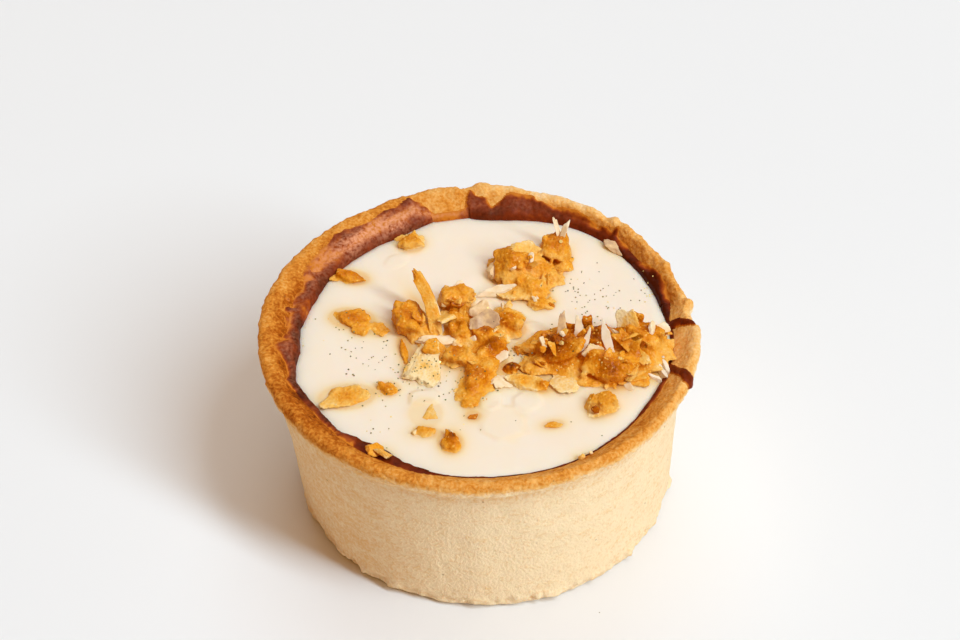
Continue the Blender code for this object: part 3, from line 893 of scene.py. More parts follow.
    def _browning(self) -> Array:
        """How brown each point is baked, from 0 on the ring side to 1, with painted shade at the left, painted
        light in front and a painted highlight on the lip behind.
        """
        azimuth = np.broadcast_to(self.azimuth, self.grid.shape[:2])
        along = np.broadcast_to(self.along[:, None], azimuth.shape)
        lip = 1.0 - smooth_step(self.lip_length - 0.75, self.lip_length + 0.60, along)
        fringe = hill(self.lip_length - 0.60, 0.55, along)
        below = (1.0 - lip) * (1.0 - smooth_step(self.lip_length, self.lip_length + 4.0, along))
        streaks = lumps(streaked(azimuth, along, 5.0, 0.45), 1.0, 17)
        soaked = 1.0 - smooth_step(-1.5, 0.5, along + 0.4 * lumps(self.grid, 1.3, 16) - 0.3 * streaks)
        soaked = soaked * (0.12 + 0.88 * facing(azimuth, *self.soaked_side))
        brown = self.ring_browning + lip * (self.lip_browning + layered(self.grid, self.mottling))
        brown = brown + self.below_browning * below + self.soaking * soaked - self.fringe_paleness * fringe
        brown = brown + self.crack_browning * self._crack_share(azimuth, along)
        # Painted shade at the left and painted light in front; on the lip behind, paler crust with a painted
        # highlight.
        outside = smooth_step(-0.9, 0.6, along) * spotted(azimuth, self.outside_tone_and_highlight)
        brown = brown + spotted(azimuth, self.painted_shade_and_light) + lip * (spotted(azimuth, self.lip_tone_and_highlight) + outside)
        return np.clip(brown, 0.0, 1.0)

    def build(self) -> bpy.types.Object:
        """Make the crust and dress it.

        Returns:
            The crust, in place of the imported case.
        """
        crust = closed_loft("pastry_crust", self.grid, {"browning": self._browning()})
        crust.data.materials.append(self.finish.material())
        return settle(crust, "pastry", "pastry_case")


class BandPoint(NamedTuple):
    """A point of a band of chocolate that lies across the lip.

    Its place along the section from the crown in mm, negative inside, its azimuth in degrees, and the band's
    half width there in mm.
    """

    along: float
    azimuth: float
    half_width: float


@dataclass
class ChocolateCoat:
    """The chocolate brushed over the inside of the case, up the slope and here and there across the lip."""

    crust: PastryCrust
    finish: BrushedChocolate = field(default_factory=BrushedChocolate)
    # How far out the coat climbs: azimuth, then distance from the axis in mm.
    climb: Places = (
        (-60.0, 20.1), (-28.0, 20.1), (-20.0, 20.2), (6.0, 20.2), (9.0, 20.0), (12.0, 20.8), (16.0, 21.1),
        (20.0, 21.3), (26.0, 21.3), (30.0, 21.0), (34.0, 20.9), (38.0, 20.6), (41.0, 21.2), (45.0, 21.4),
        (46.5, 22.2), (48.0, 21.7), (50.0, 21.8), (53.0, 21.3), (57.0, 21.7), (64.0, 21.7), (67.0, 21.5),
        (72.0, 21.8), (80.0, 22.0), (82.0, 21.8), (83.5, 21.0), (86.0, 20.5), (88.0, 21.1), (91.0, 21.5),
        (92.5, 22.3), (93.5, 21.5), (94.5, 20.3), (97.0, 19.9), (104.0, 19.9), (107.0, 21.0), (109.0, 21.4),
        (110.5, 22.2), (112.0, 21.8), (115.0, 21.4), (120.0, 21.3), (127.0, 21.0), (132.0, 21.3),
        (137.0, 21.6), (141.0, 21.2), (150.0, 21.0), (155.0, 20.9), (158.0, 20.4), (161.0, 20.1),
        (164.0, 20.7), (167.5, 21.4), (169.0, 20.8), (173.0, 20.7), (176.0, 20.3), (183.0, 20.3),
        (185.0, 21.2), (188.0, 21.4), (190.0, 20.8), (192.0, 20.3), (197.0, 20.5), (200.0, 21.2),
        (203.0, 21.0), (205.0, 20.2), (210.0, 20.1), (224.0, 20.2), (227.0, 20.9), (230.0, 20.6),
        (233.0, 20.0), (246.0, 19.9), (256.0, 20.1), (300.0, 20.1),
    )
    # How far out the cream lies, where it meets the coat.
    cream_edge: Places = (
        (-60.0, 20.0), (-50.0, 19.9), (-40.0, 19.8), (-30.0, 19.65), (-22.0, 19.7), (-17.0, 19.9),
        (-10.0, 20.0), (0.0, 20.1), (8.0, 19.9), (12.0, 19.75), (20.0, 19.8), (30.0, 20.1), (38.0, 20.15),
        (44.0, 20.5), (50.0, 20.6), (57.0, 20.55), (65.0, 20.3), (70.0, 20.0), (75.0, 19.7), (80.0, 19.3),
        (86.0, 19.05), (90.0, 19.1), (94.0, 19.35), (100.0, 19.5), (106.0, 19.35), (110.0, 18.95),
        (115.0, 18.55), (120.0, 18.4), (130.0, 18.3), (150.0, 18.4), (165.0, 18.4), (171.0, 18.45),
        (175.0, 18.8), (186.0, 18.7), (190.0, 19.2), (194.0, 19.6), (200.0, 19.8), (205.0, 19.5),
        (212.0, 19.4), (225.0, 19.6), (230.0, 19.2), (236.0, 18.75), (242.0, 18.95), (248.0, 19.4),
        (255.0, 19.7), (262.0, 19.95), (280.0, 19.95), (290.0, 20.05), (300.0, 20.05),
    )
    bands: tuple[tuple[BandPoint, ...], ...] = (
        (
            BandPoint(-2.6, -12.8, 0.80), BandPoint(-2.0, -14.2, 0.62), BandPoint(-1.3, -16.0, 0.56),
            BandPoint(-0.7, -17.4, 0.55), BandPoint(0.2, -19.3, 0.90), BandPoint(0.9, -19.6, 0.80),
            BandPoint(1.35, -20.2, 0.40), BandPoint(1.5, -20.6, 0.0),
        ),
        (
            BandPoint(-2.6, 5.2, 0.50), BandPoint(-2.0, 4.8, 0.60), BandPoint(-1.3, 4.2, 0.68),
            BandPoint(-0.7, 3.1, 0.62), BandPoint(-0.1, 1.7, 0.40), BandPoint(0.15, 1.2, 0.22),
            BandPoint(0.3, 0.9, 0.0),
        ),
    )
    band_height: float = 0.26
    slope_length: float = 2.35
    cream_below: float = 0.25  # how far under the slope the cream's level lies
    under: float = 0.12  # how far the coat's hidden side lies in the crust
    least_pool: float = 0.20  # depth at the cream where there is hardly any chocolate
    thin: float = 0.10  # depth near its upper edge
    smeared: Pair = (124.0, 21.0)  # where it is smeared thin: azimuth, half width
    streaky: Pair = (178.0, 40.0)  # where it was brushed on dry
    sheen_behind: Pair = (78.0, 20.0)  # where a little painted sheen lies behind
    edge_relief: tuple[Layer, ...] = (Layer(0.08, 0.8, 22), Layer(0.07, 0.35, 28))
    pool_relief: tuple[Layer, ...] = (Layer(0.10, 1.6, 34), Layer(0.06, 0.6, 35))
    thin_relief: tuple[Layer, ...] = (Layer(0.35, 1.3, 26), Layer(0.20, 0.5, 27))
    ridge_relief: tuple[Layer, ...] = (Layer(0.35, 0.5, 33), Layer(0.30, 1.2, 30))
    clouds: tuple[Layer, ...] = (Layer(0.6, 1.7, 36), Layer(0.3, 0.7, 37))
    pooled_depth: float = 0.68  # how dark the coat is, on its finish's ramp
    deeper: float = 0.18  # how much darker it is in the pool at the cream
    cloud_depth: Pair = (0.20, 0.30)  # how uneven that is everywhere, and more at the streaky side
    ridge_depth: float = 0.20
    smear_depth: float = 0.80
    film_depth: float = 0.60  # how much paler the film at its upper edge is
    band_depth: float = 0.12
    # Where it is darker, or paler, whatever else lies there.
    darker: tuple[Spot, ...] = (
        Spot(22.0, 18.0, 0.20), Spot(100.0, 5.5, -0.60), Spot(78.0, 20.0, -0.12), Spot(178.0, 40.0, -0.14),
    )
    painted_sheen: tuple[float, float, float] = (1.45, 0.35, 0.12)  # how much painted sheen lies on the smear, at the streaky side, and behind

    def __post_init__(self) -> None:
        """Work out the coat's surface once, for the coat and for the cream that fills it."""
        crust = self.crust
        rows = crust.along < crust.lip_length + 0.3
        self.base, self.normal = crust.grid[rows], crust.normal[rows]
        self.along = np.broadcast_to(crust.along[rows][:, None], self.base.shape[:2])
        self.radius, self.azimuth = around_axis(self.base)
        self.level_row = int(np.argmin(np.abs(self.along[:, 0] + self.slope_length + self.cream_below)))
        self.smear = facing(self.azimuth, *self.smeared)
        self.left = facing(self.azimuth, *self.streaky)
        self.cover, self.thickness, self.ridges, self.band, self.inside = self._body()
        outer = -0.5 * self.under + self.cover * (0.5 * self.under + self.thickness)
        self.top = self.base + self.normal * outer[..., None]

    def _band_share(self, band: tuple[BandPoint, ...]) -> Array:
        """How high a band stands at each point, from 0 at its edges to 1 along its middle."""
        places, turns, widths = np.array(band).T
        middle = np.interp(self.along, places, turns)
        half = np.interp(self.along, places, widths, right=0.0)
        away = np.radians(turn_between(self.azimuth, middle)) * self.radius
        away = away + 0.06 * lumps(self.base, 0.7, 24)
        return np.clip(1.0 - (away / np.maximum(half, 0.01)) ** 2, 0.0, 1.0) * (half > 0.05)

    def _body(self) -> tuple[Array, Array, Array, Array, Array]:
        """How the chocolate lies.

        Returns:
            How well each point is covered, from 0 for bare crust to 1, how deep the coat is in mm, the height
            of its brush ridges from 0 to 1, the share of the bands across the lip, and how far each point
            lies inside the coat's upper edge in mm.
        """
        along, grid, radius = self.along, self.base, self.radius
        top = read_around(self.climb, self.azimuth)
        swept = streaked(self.azimuth, along, 9.0, 0.5)
        ragged = 0.20 * lumps(swept, 1.0, 21) + layered(grid, self.edge_relief)
        cover = (1.0 - smooth_step(-0.08, 0.08, radius - top - ragged)) * (along < 0.8)
        patchy = lumps(swept * (0.8, 0.8, 1.0), 1.0, 23) + 0.6 * lumps(grid, 0.7, 29)
        cover = cover * (1.0 - self.left * smooth_step(0.22, 0.50, patchy) * smooth_step(-2.1, -1.7, along))
        cover = np.maximum(cover, 1.0 - smooth_step(-0.15, 0.15, along + self.slope_length))
        band = np.max([self._band_share(band) for band in self.bands], axis=0)
        cover = np.maximum(cover, smooth_step(0.0, 0.3, band))

        foot = int(np.argmin(np.abs(along[:, 0] + self.slope_length)))
        edge = read_around(self.cream_edge, self.azimuth)[self.level_row]
        pool = np.maximum(radius[self.level_row] - edge, self.least_pool)
        pool = pool * (1.0 + layered(grid, self.pool_relief))
        reach = np.maximum(top - radius[foot], 0.25)
        fall = np.clip((radius - radius[foot]) / reach, 0.0, 1.0) * (along > along[foot])
        thickness = self.thin * (1.0 + layered(grid, self.thin_relief))
        thickness = thickness + (pool - self.thin) * (1.0 - fall) ** 1.6
        surface = grid + self.normal * thickness[..., None]
        brushed = around_axis(surface)[0] + 0.10 * self.azimuth
        brushed = 0.45 * lumps(streaked(self.azimuth, brushed, 7.0, 0.55), 1.0, 25)
        ridges = np.clip(0.5 + brushed + layered(surface, self.ridge_relief), 0.0, 1.0)
        rough = np.maximum(self.smear, 0.5 * self.left)
        thickness = thickness + (0.05 + 0.06 * rough) * (ridges - 0.5)
        on_band = smooth_step(0.0, 0.2, band)
        thickness = thickness * (1.0 - on_band) + (0.05 + self.band_height * np.sqrt(band)) * on_band
        return cover, thickness, ridges, band, top + ragged - radius

    def _tones(self) -> dict[str, Array]:
        """How deep the chocolate looks at each point of the surface, and how much painted sheen lies there."""
        radius = around_axis(self.top)[0]
        swept = streaked(self.azimuth, radius + 0.06 * self.azimuth, 8.0, 0.5)
        cloudy = layered(self.top, self.clouds) + 0.7 * lumps(swept, 1.0, 38)
        cream_edge = read_around(self.cream_edge, self.azimuth)
        rise = (radius - cream_edge) / (read_around(self.climb, self.azimuth) - cream_edge)
        middle = hill(0.50, 0.36, rise + 0.15 * cloudy)
        pooled = np.maximum(self.cover, 1.0 - smooth_step(0.2, 0.5, self.along + self.slope_length))
        fall = np.clip((self.thickness - self.thin) / 0.6, 0.0, 1.0)
        film = 1.0 - smooth_step(-0.05, 0.45, self.inside + 0.20 * cloudy)
        film = film * smooth_step(0.35, 0.95, self.radius - cream_edge)
        film = film * smooth_step(-self.slope_length, 0.3 - self.slope_length, self.along)
        film = film * (1.0 - smooth_step(0.0, 0.4, self.band)) * (1.0 - 0.6 * self.smear)
        uneven, more = self.cloud_depth
        depth = pooled * (self.pooled_depth + self.deeper * fall) + (uneven + more * self.left) * cloudy
        depth = depth - self.ridge_depth * (self.ridges - 0.5) + spotted(self.azimuth, self.darker)
        depth = depth - self.smear_depth * self.smear * middle - self.film_depth * film
        depth = depth - self.band_depth * smooth_step(0.0, 0.5, self.band)
        # Painted sheen, strongest on the smear, midway up the coat and over the ridges.
        places = (self.smear, self.left, facing(self.azimuth, *self.sheen_behind))
        painted_sheen = sum(amount * place for amount, place in zip(self.painted_sheen, places))
        return {"depth": depth, "painted_sheen": middle * painted_sheen * (0.50 + 0.50 * self.ridges)}

    def build(self) -> bpy.types.Object:
        """Make the coat on the crust's own surface and dress it.

        Returns:
            The coat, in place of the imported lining.
        """
        bottom = (self.base - self.normal * self.under)[::-2]
        values = {name: np.concatenate((tone, tone[::-2])) for name, tone in self._tones().items()}
        coat = closed_loft("chocolate_coat", np.concatenate((self.top, bottom)), values)
        coat.data.materials.append(self.finish.material())
        return settle(coat, "chocolate", "chocolate_lining")


@dataclass
class LemonCream:
    """The cream, poured level into the case, with a rounded edge and low swells round what lies in it."""

    coat: ChocolateCoat
    rows: "list[BrittleRow]"
    sunken: "tuple[BrittleRow, ...]"  # flakes that the cream has closed over
    finish: SetLemonCream = field(default_factory=SetLemonCream)
    rings: int = 112
    coarser: int = 2  # how many of the crust's columns go to one of the cream's
    calming: int = 9  # over how many columns to each side the inner rings are calmed
    edge_drop: float = 0.30
    edge_width: float = 0.55
    # How far the caramel stain and the painted contact shadow reach round a piece, in mm.
    stain_and_shadow_reach: float = 0.85
    swell: float = 0.05  # how high the cream creeps up round what lies on it
    swell_width: float = 0.45
    poured: tuple[Layer, ...] = (Layer(0.05, 4.5, 31), Layer(0.015, 1.5, 32))
    torn: tuple[Layer, ...] = (Layer(0.22, 1.5, 33), Layer(0.10, 0.7, 35))  # the outlines of sunken flakes
    inset: float = 1.2
    into_coat: float = 0.10
    # The hidden side in the case: height, and how much further in than the inset.
    side: Places = ((18.55, 0.0), (12.0, 0.0), (4.7, 0.0), (3.9, 1.5))

    def _top(self, ring: Array) -> Array:
        """Points of the top, as rings from the middle out to the given one."""
        steps = range(-self.calming, self.calming + 1)
        calm = np.mean([np.roll(ring, step, axis=0) for step in steps], axis=0)
        middle = ring.mean(axis=0)
        share = np.linspace(0.02, 1.0, self.rings)[:, None, None] ** 0.8
        top = middle + share * (calm - middle) + share**12 * (ring - calm)
        inwards = (1.0 - share[..., 0]) * np.linalg.norm((ring - middle)[..., :2], axis=-1)
        top[..., 2] = self.coat.crust.form.cream_level
        top[..., 2] -= self.edge_drop * np.exp(-inwards / self.edge_width * 1.2)
        top[..., 2] += layered(top, self.poured)
        return top

    def build(self) -> bpy.types.Object:
        """Make the cream and dress it.

        Returns:
            The cream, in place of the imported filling.
        """
        coat, crust, form = self.coat, self.coat.crust, self.coat.crust.form
        ring = coat.top[coat.level_row] - self.into_coat * coat.normal[coat.level_row]
        top = self._top(ring[:: self.coarser])
        stain = np.zeros(top.shape[:2])
        for row in self.rows:
            away = np.maximum(row.reach(top, 0.15) - 1.0, 0.0) * 0.5 * min(row.length, row.width)
            top[..., 2] += self.swell * np.exp(-((away / self.swell_width) ** 2)) * (row.lift < 0.05)
            # Round each piece the cream darkens: caramel that bled into it, and a painted contact shadow.
            near = np.exp(-away / self.stain_and_shadow_reach)
            stain = 1.0 - (1.0 - stain) * (1.0 - row.tone.bleed * (0.60 * near**3 + 0.07 * near))
        for row in self.sunken:
            reach = row.reach(top, 0.0) * (1.0 + layered(top, self.torn))
            top[..., 2] += row.height * (1.0 - smooth_step(0.70, 1.10, reach))
            rim = 0.40 * hill(0.95, 0.22, reach) * (0.5 + 0.5 * lumps(top, 2.2, 36))
            under = 0.22 * (1.0 - smooth_step(0.8, 1.1, reach))
            stain = np.maximum(stain, row.tone.darkness * (rim + under))
        heights, further_in = np.array(self.side).T
        radii = form.inner(heights) - self.inset - further_in
        shape = (len(heights), top.shape[1])
        azimuth = np.broadcast_to(crust.azimuth[:: self.coarser], shape)
        side = form.place(*np.broadcast_arrays(radii[:, None], azimuth, heights[:, None]))
        stain = np.concatenate((stain, np.zeros(shape)))
        cream = closed_loft("lemon_cream_fill", np.concatenate((top, side)), {"stain": stain})
        cream.data.materials.append(self.finish.material())
        return settle(cream, "cream", "lemon_cream")


# ---- Brittle ----


class Shape(Enum):
    """The kinds of broken piece, each with the outline of a plate, or none for a nugget."""

    LUMP = ()
    CHUNK = ((-0.5, -0.42), (0.42, -0.5), (0.5, 0.45), (-0.40, 0.5))
    PLATE = ((-0.5, -0.1), (-0.2, -0.5), (0.35, -0.45), (0.5, 0.1), (0.15, 0.5), (-0.35, 0.4))
    OVAL = ((-0.5, 0.0), (-0.3, -0.42), (0.15, -0.5), (0.45, -0.25), (0.5, 0.15), (0.2, 0.5), (-0.3, 0.4))
    TRIANGLE = ((-0.5, -0.5), (0.5, -0.12), (0.45, 0.12), (-0.4, 0.5))
    BLADE = ((-0.5, -0.3), (-0.1, -0.5), (0.5, 0.0), (0.0, 0.5), (-0.5, 0.35))
    STRIP = ((-0.5, -0.5), (0.40, -0.5), (0.5, -0.05), (0.38, 0.5), (-0.5, 0.5))
    LENS = ((-0.5, -0.08), (-0.1, -0.5), (0.5, 0.0), (-0.05, 0.5), (-0.5, 0.12))


class Tone(Enum):
    """What a piece is made of: caramel or almond, how dark it is, and how much it stains the cream and paints
    a contact shadow on it.
    """

    BURNT = ("caramel", 0.90, 1.0)
    DARK = ("caramel", 0.70, 1.0)
    AMBER = ("caramel", 0.54, 0.9)
    HONEY = ("caramel", 0.43, 0.8)
    STRAW = ("caramel", 0.24, 0.5)
    PALE = ("caramel", 0.15, 0.4)
    MAUVE = ("almond", 0.88, 0.5)
    TOASTED = ("almond", 0.66, 0.5)
    ALMOND = ("almond", 0.34, 0.3)
    WHITE = ("almond", 0.06, 0.1)

    @property
    def stuff(self) -> str:
        """Which of the two finishes it has."""
        return self.value[0]

    @property
    def darkness(self) -> float:
        """Where it lies on its finish's ramp."""
        return self.value[1]

    @property
    def bleed(self) -> float:
        """How much colour it gives to the cream, as bled caramel and as painted contact shadow."""
        return self.value[2]


class BrittleRow(NamedTuple):
    """One piece, with its curl out of its plane and its bend in its plane.

    Its middle, its foot above the cream and its size are in mm, its turns in degrees, curl and bend in mm.
    Fade is how much darker its far end is than its near one.
    """

    shape: Shape
    x: float
    y: float
    lift: float
    length: float
    width: float
    height: float
    yaw: float = 0.0
    pitch: float = 0.0
    roll: float = 0.0
    tone: Tone = Tone.AMBER
    curl: float = 0.0
    bend: float = 0.0
    fade: float = 0.0

    def reach(self, points: Array, margin: float) -> Array:
        """How far points lie from its middle, seen from above, in its own half sizes plus a margin in mm."""
        yaw = math.radians(self.yaw)
        across = points[..., :2] - (self.x, self.y)
        along = across @ (math.cos(yaw), math.sin(yaw)) / (0.5 * self.length + margin)
        return np.hypot(along, across @ (-math.sin(yaw), math.cos(yaw)) / (0.5 * self.width + margin))


LUMP, CHUNK, PLATE, OVAL, TRIANGLE, BLADE, STRIP, LENS = Shape
BURNT, DARK, AMBER, HONEY, STRAW, PALE, MAUVE, TOASTED, ALMOND, WHITE = Tone


def as_rows(*pieces: tuple) -> tuple[BrittleRow, ...]:
    """Name the fields of several pieces."""
    return tuple(BrittleRow(*piece) for piece in pieces)


HEAP_RIGHT = as_rows(
    (LUMP, 12.8, -3.2, 0.0, 12.4, 6.6, 1.2, -6, 0, 0, HONEY),
    (LUMP, 8.0, -2.7, 0.0, 5.0, 5.4, 3.0, 20, 0, 0, BURNT),
    (LUMP, 12.0, -1.2, 0.0, 5.2, 4.4, 2.2, -15, 0, 0, BURNT),
    (LUMP, 14.8, -1.0, 0.0, 3.4, 3.4, 2.5, 40, 0, 0, AMBER),
    (LUMP, 17.2, -1.8, 0.0, 4.7, 4.6, 3.0, 10, 0, 0, AMBER),
    (LUMP, 13.4, -5.4, 0.0, 6.4, 4.0, 2.2, -8, 0, 0, DARK),
    (LUMP, 16.0, -4.2, 0.0, 4.0, 3.2, 2.2, -30, 0, 0, AMBER),
    (LUMP, 6.0, -4.6, 0.0, 3.2, 2.6, 1.3, 0, 0, 0, HONEY),
    (LUMP, 8.9, -0.2, 0.0, 3.4, 2.8, 1.9, 0, 0, 0, AMBER),
    (LUMP, 5.3, -1.4, 0.0, 3.2, 1.8, 1.0, 10, 0, 0, HONEY),
    (CHUNK, 11.3, 0.2, 1.1, 1.1, 1.0, 1.5, 10, 0, 0, AMBER),
    (CHUNK, 16.7, -0.4, 1.8, 0.9, 0.8, 1.9, 6, 0, 0, HONEY),
    (LUMP, 12.0, -2.9, 0.9, 1.6, 1.3, 1.1, 0, 0, 0, BURNT),
    (CHUNK, 13.5, -6.9, 0.2, 0.9, 1.2, 1.4, 4, 0, 0, DARK),
    (LENS, 10.9, -3.0, 1.5, 3.1, 0.80, 0.22, 47, -44, 20, WHITE, 0.1, 0.30),
    (BLADE, 13.2, -2.7, 1.3, 3.9, 1.05, 0.24, 122, -47, -30, WHITE, 0.0, -0.15, -0.3),
    (PLATE, 15.2, -0.9, 1.2, 2.7, 3.4, 0.26, -22, 4, 52, STRAW, 0.1, 0.0, 0.5),
    (TRIANGLE, 10.3, -0.8, 0.8, 2.8, 1.4, 0.25, 98, -52, 0, ALMOND),
    (PLATE, 11.8, -4.2, 1.3, 2.2, 1.7, 0.28, -10, 10, 34, TOASTED, 0.2),
    (STRIP, 15.9, -3.9, 1.5, 4.9, 1.25, 0.32, -45, 15, 22, HONEY, 0.2, 0.0, -0.25),
    (LENS, 14.7, -2.4, 2.1, 3.0, 0.7, 0.25, -36, 12, 10, ALMOND, 0.1),
    (TRIANGLE, 8.6, -0.4, 1.3, 2.6, 1.2, 0.3, 92, -52, 6, MAUVE),
    (PLATE, 18.7, -3.6, 0.0, 3.2, 2.0, 0.55, -62, 0, 18, STRAW),
    (STRIP, 18.7, -5.3, 0.1, 2.8, 0.6, 0.5, -62, 0, 10, WHITE),
    (STRIP, 19.2, -4.6, 0.2, 2.3, 0.5, 0.5, -76, 4, 0, WHITE),
    (LENS, 18.1, -6.1, 0.0, 1.9, 0.7, 0.4, -40, 0, 0, WHITE),
    (PLATE, 19.0, 0.3, 0.4, 1.9, 1.4, 0.3, 20, -10, 40, ALMOND),
    (STRIP, 15.7, -6.6, 0.0, 3.4, 0.9, 0.5, 18, 0, 0, HONEY, 0.0, 0.0, -0.2),
    (STRIP, 16.7, -5.7, 0.1, 2.8, 0.8, 0.5, 34, 0, 0, STRAW),
)
HEAP_MIDDLE = as_rows(
    (LUMP, -0.8, 0.6, 0.0, 7.0, 5.4, 0.7, 0, 0, 0, STRAW),
    (CHUNK, -7.1, 1.7, 0.0, 3.5, 4.3, 2.0, 5, 0, 0, HONEY),
    (LUMP, -4.5, 0.4, 0.0, 4.0, 3.0, 1.2, 10, 0, 0, HONEY),
    (LUMP, -2.4, 4.9, 0.0, 3.5, 3.4, 2.5, 0, 0, 0, HONEY),
    (LUMP, -2.2, 2.6, 0.0, 3.2, 2.6, 1.6, 0, 0, 0, AMBER),
    (LUMP, -1.8, 0.6, 0.0, 3.2, 2.8, 1.6, 30, 0, 0, DARK),
    (LUMP, 0.6, 0.0, 0.0, 3.0, 3.0, 1.4, 0, 0, 0, BURNT),
    (LUMP, 1.1, -2.3, 0.0, 3.4, 3.2, 2.0, 15, 0, 0, DARK),
    (CHUNK, 3.2, 1.6, 0.0, 3.4, 2.4, 1.5, -35, 0, 0, AMBER),
    (LUMP, 3.0, 3.0, 0.0, 3.0, 2.2, 1.0, -20, 0, 0, HONEY),
    (CHUNK, -4.8, -2.3, 0.0, 2.1, 2.2, 1.3, 8, 0, 0, AMBER),
    (CHUNK, -2.3, -3.4, 0.0, 3.0, 2.5, 1.4, -10, 0, 0, AMBER),
    (PLATE, 0.0, 3.0, 0.6, 2.4, 1.8, 0.4, 20, -6, 40, TOASTED, 0.2),
    (PLATE, 0.5, 0.6, 1.1, 3.3, 2.0, 0.34, 24, -10, 34, MAUVE, 0.3),
    (TRIANGLE, -3.4, 1.6, 0.7, 3.6, 2.4, 0.30, 250, -20, 10, STRAW),
    (PLATE, -4.2, -0.9, 0.3, 4.8, 1.3, 0.35, 3, 0, 12, ALMOND, 0.1),
    (TRIANGLE, -5.6, -4.4, 0.1, 5.6, 4.4, 0.35, 77, -8, 6, PALE, 0.2, 0.0, 0.10),
    (STRIP, -5.4, 2.6, 0.5, 7.6, 1.35, 0.40, 116, -37, -16, HONEY, 0.1, 0.55, 0.15),
    (STRIP, -4.5, 2.2, 0.4, 6.0, 0.5, 0.30, 113, -34, 0, ALMOND, 0.1, 0.40),
    (LENS, -7.7, -2.2, -0.3, 4.0, 1.0, 0.7, 100, 0, 0, AMBER),
    (TRIANGLE, -0.2, -6.4, 0.0, 6.0, 3.6, 0.9, 256, 0, 0, AMBER, 0.0, 0.3, -0.1),
    (LUMP, -0.9, -9.6, -0.3, 1.9, 1.8, 0.9, 0, 0, 0, AMBER),
    (PLATE, 1.9, -3.5, 0.2, 2.6, 1.7, 0.30, 40, -8, 0, ALMOND),
    (LUMP, 0.4, -4.4, 0.0, 2.4, 2.0, 1.1, 0, 0, 0, HONEY),
    (PLATE, 2.3, -6.2, -0.24, 3.4, 2.8, 0.45, 70, 3, 5, ALMOND, 0.1),
)
HEAP_BACK = as_rows(
    (LUMP, 4.2, 10.4, 0.0, 5.6, 4.6, 2.7, 0, 0, 0, HONEY),
    (LUMP, 8.2, 12.5, 0.0, 3.4, 4.2, 2.6, 0, 0, 0, HONEY),
    (LUMP, 5.0, 7.4, 0.0, 5.0, 3.6, 1.6, -15, 0, 0, HONEY),
    (LUMP, 7.2, 9.6, 0.0, 3.4, 3.2, 1.3, 0, 0, 0, HONEY),
    (LUMP, 6.6, 5.4, -0.2, 2.8, 2.2, 0.9, 0, 0, 0, HONEY),
    (PLATE, 1.9, 9.9, 0.2, 2.6, 2.0, 0.5, 60, -10, 30, TOASTED),
    (PLATE, 4.8, 11.2, 1.9, 3.4, 2.0, 0.35, 20, 6, 24, STRAW, 0.2),
    (LENS, 2.4, 6.7, 0.4, 5.2, 1.1, 0.32, 10, -8, 20, ALMOND, 0.2),
    (STRIP, 8.4, 13.8, 2.2, 2.5, 0.62, 0.28, 116, -50, 0, ALMOND),
    (STRIP, 9.2, 13.5, 2.2, 2.3, 0.66, 0.28, 58, -50, 0, ALMOND),
)
SINGLE_PIECES = as_rows(
    (OVAL, -13.4, 2.9, -0.45, 4.6, 3.0, 0.9, -12, 3, 0, AMBER, 0.0, 0.0, 0.25),
    (CHUNK, -12.4, 1.2, -0.40, 1.8, 1.8, 0.7, -20, 0, 0, AMBER),
    (PLATE, -10.5, 1.2, -0.42, 2.4, 1.9, 0.7, -20, 0, 0, HONEY),
    (BLADE, -13.7, 9.4, -0.45, 3.6, 2.0, 0.9, -15, 4, 0, AMBER, 0.0, 0.0, 0.3),
    (LUMP, -7.4, 15.0, -0.50, 3.0, 2.7, 1.5, 0, 0, 0, HONEY),
    (OVAL, -13.5, -8.8, -0.42, 5.4, 3.4, 0.66, 8, 0, 0, HONEY),
    (LUMP, -9.4, -7.7, -0.40, 2.2, 1.9, 1.0, 0, 0, 0, HONEY),
    (TRIANGLE, -5.4, -11.2, -0.36, 3.6, 3.0, 0.52, 92, 0, 0, STRAW),
    (LUMP, -2.9, -15.4, -0.40, 2.2, 2.8, 1.4, 10, 0, 0, AMBER),
    (LUMP, -2.6, -15.0, 0.65, 0.55, 1.0, 0.5, 0, 0, 0, BURNT),
    (LUMP, -5.4, -13.9, -0.40, 2.2, 1.4, 0.9, 0, 0, 0, HONEY),
    (LUMP, 3.2, -4.9, -0.40, 2.3, 1.4, 1.1, 0, 0, 0, BURNT),
    (OVAL, 4.8, -6.8, -0.25, 4.6, 2.2, 0.6, -22, 3, 0, STRAW),
    (LUMP, 6.6, -7.5, -0.30, 1.5, 1.2, 1.0, 0, 0, 0, DARK),
    (PLATE, 9.0, -6.6, -0.25, 4.2, 3.4, 0.5, 60, 3, 0, PALE),
    (LUMP, 12.5, -10.1, -0.40, 3.2, 2.7, 1.9, 0, 0, 0, HONEY),
    (PLATE, 11.75, -11.3, 0.5, 0.9, 0.7, 0.4, 10, 0, 55, BURNT),
    (OVAL, -0.6, -11.6, -0.20, 1.1, 1.0, 0.35, 0, 0, 0, DARK),
    (OVAL, 7.5, -12.8, -0.28, 1.8, 1.0, 0.40, 10, 0, 0, HONEY),
    (PLATE, -10.3, -16.9, 0.3, 2.0, 1.4, 0.4, 30, 15, 28, HONEY),
    (TRIANGLE, -9.6, -17.5, 0.5, 1.9, 1.1, 0.35, 150, -10, 30, STRAW),
    (LENS, 14.6, 14.2, 0.1, 3.0, 1.3, 0.35, 136, 0, 0, MAUVE),
    (LUMP, 10.2, -17.6, 0.1, 0.7, 0.5, 0.5, 0, 0, 0, HONEY),
    (LUMP, 11.1, -17.0, 0.2, 0.5, 0.4, 0.4, 40, 0, 0, STRAW),
)
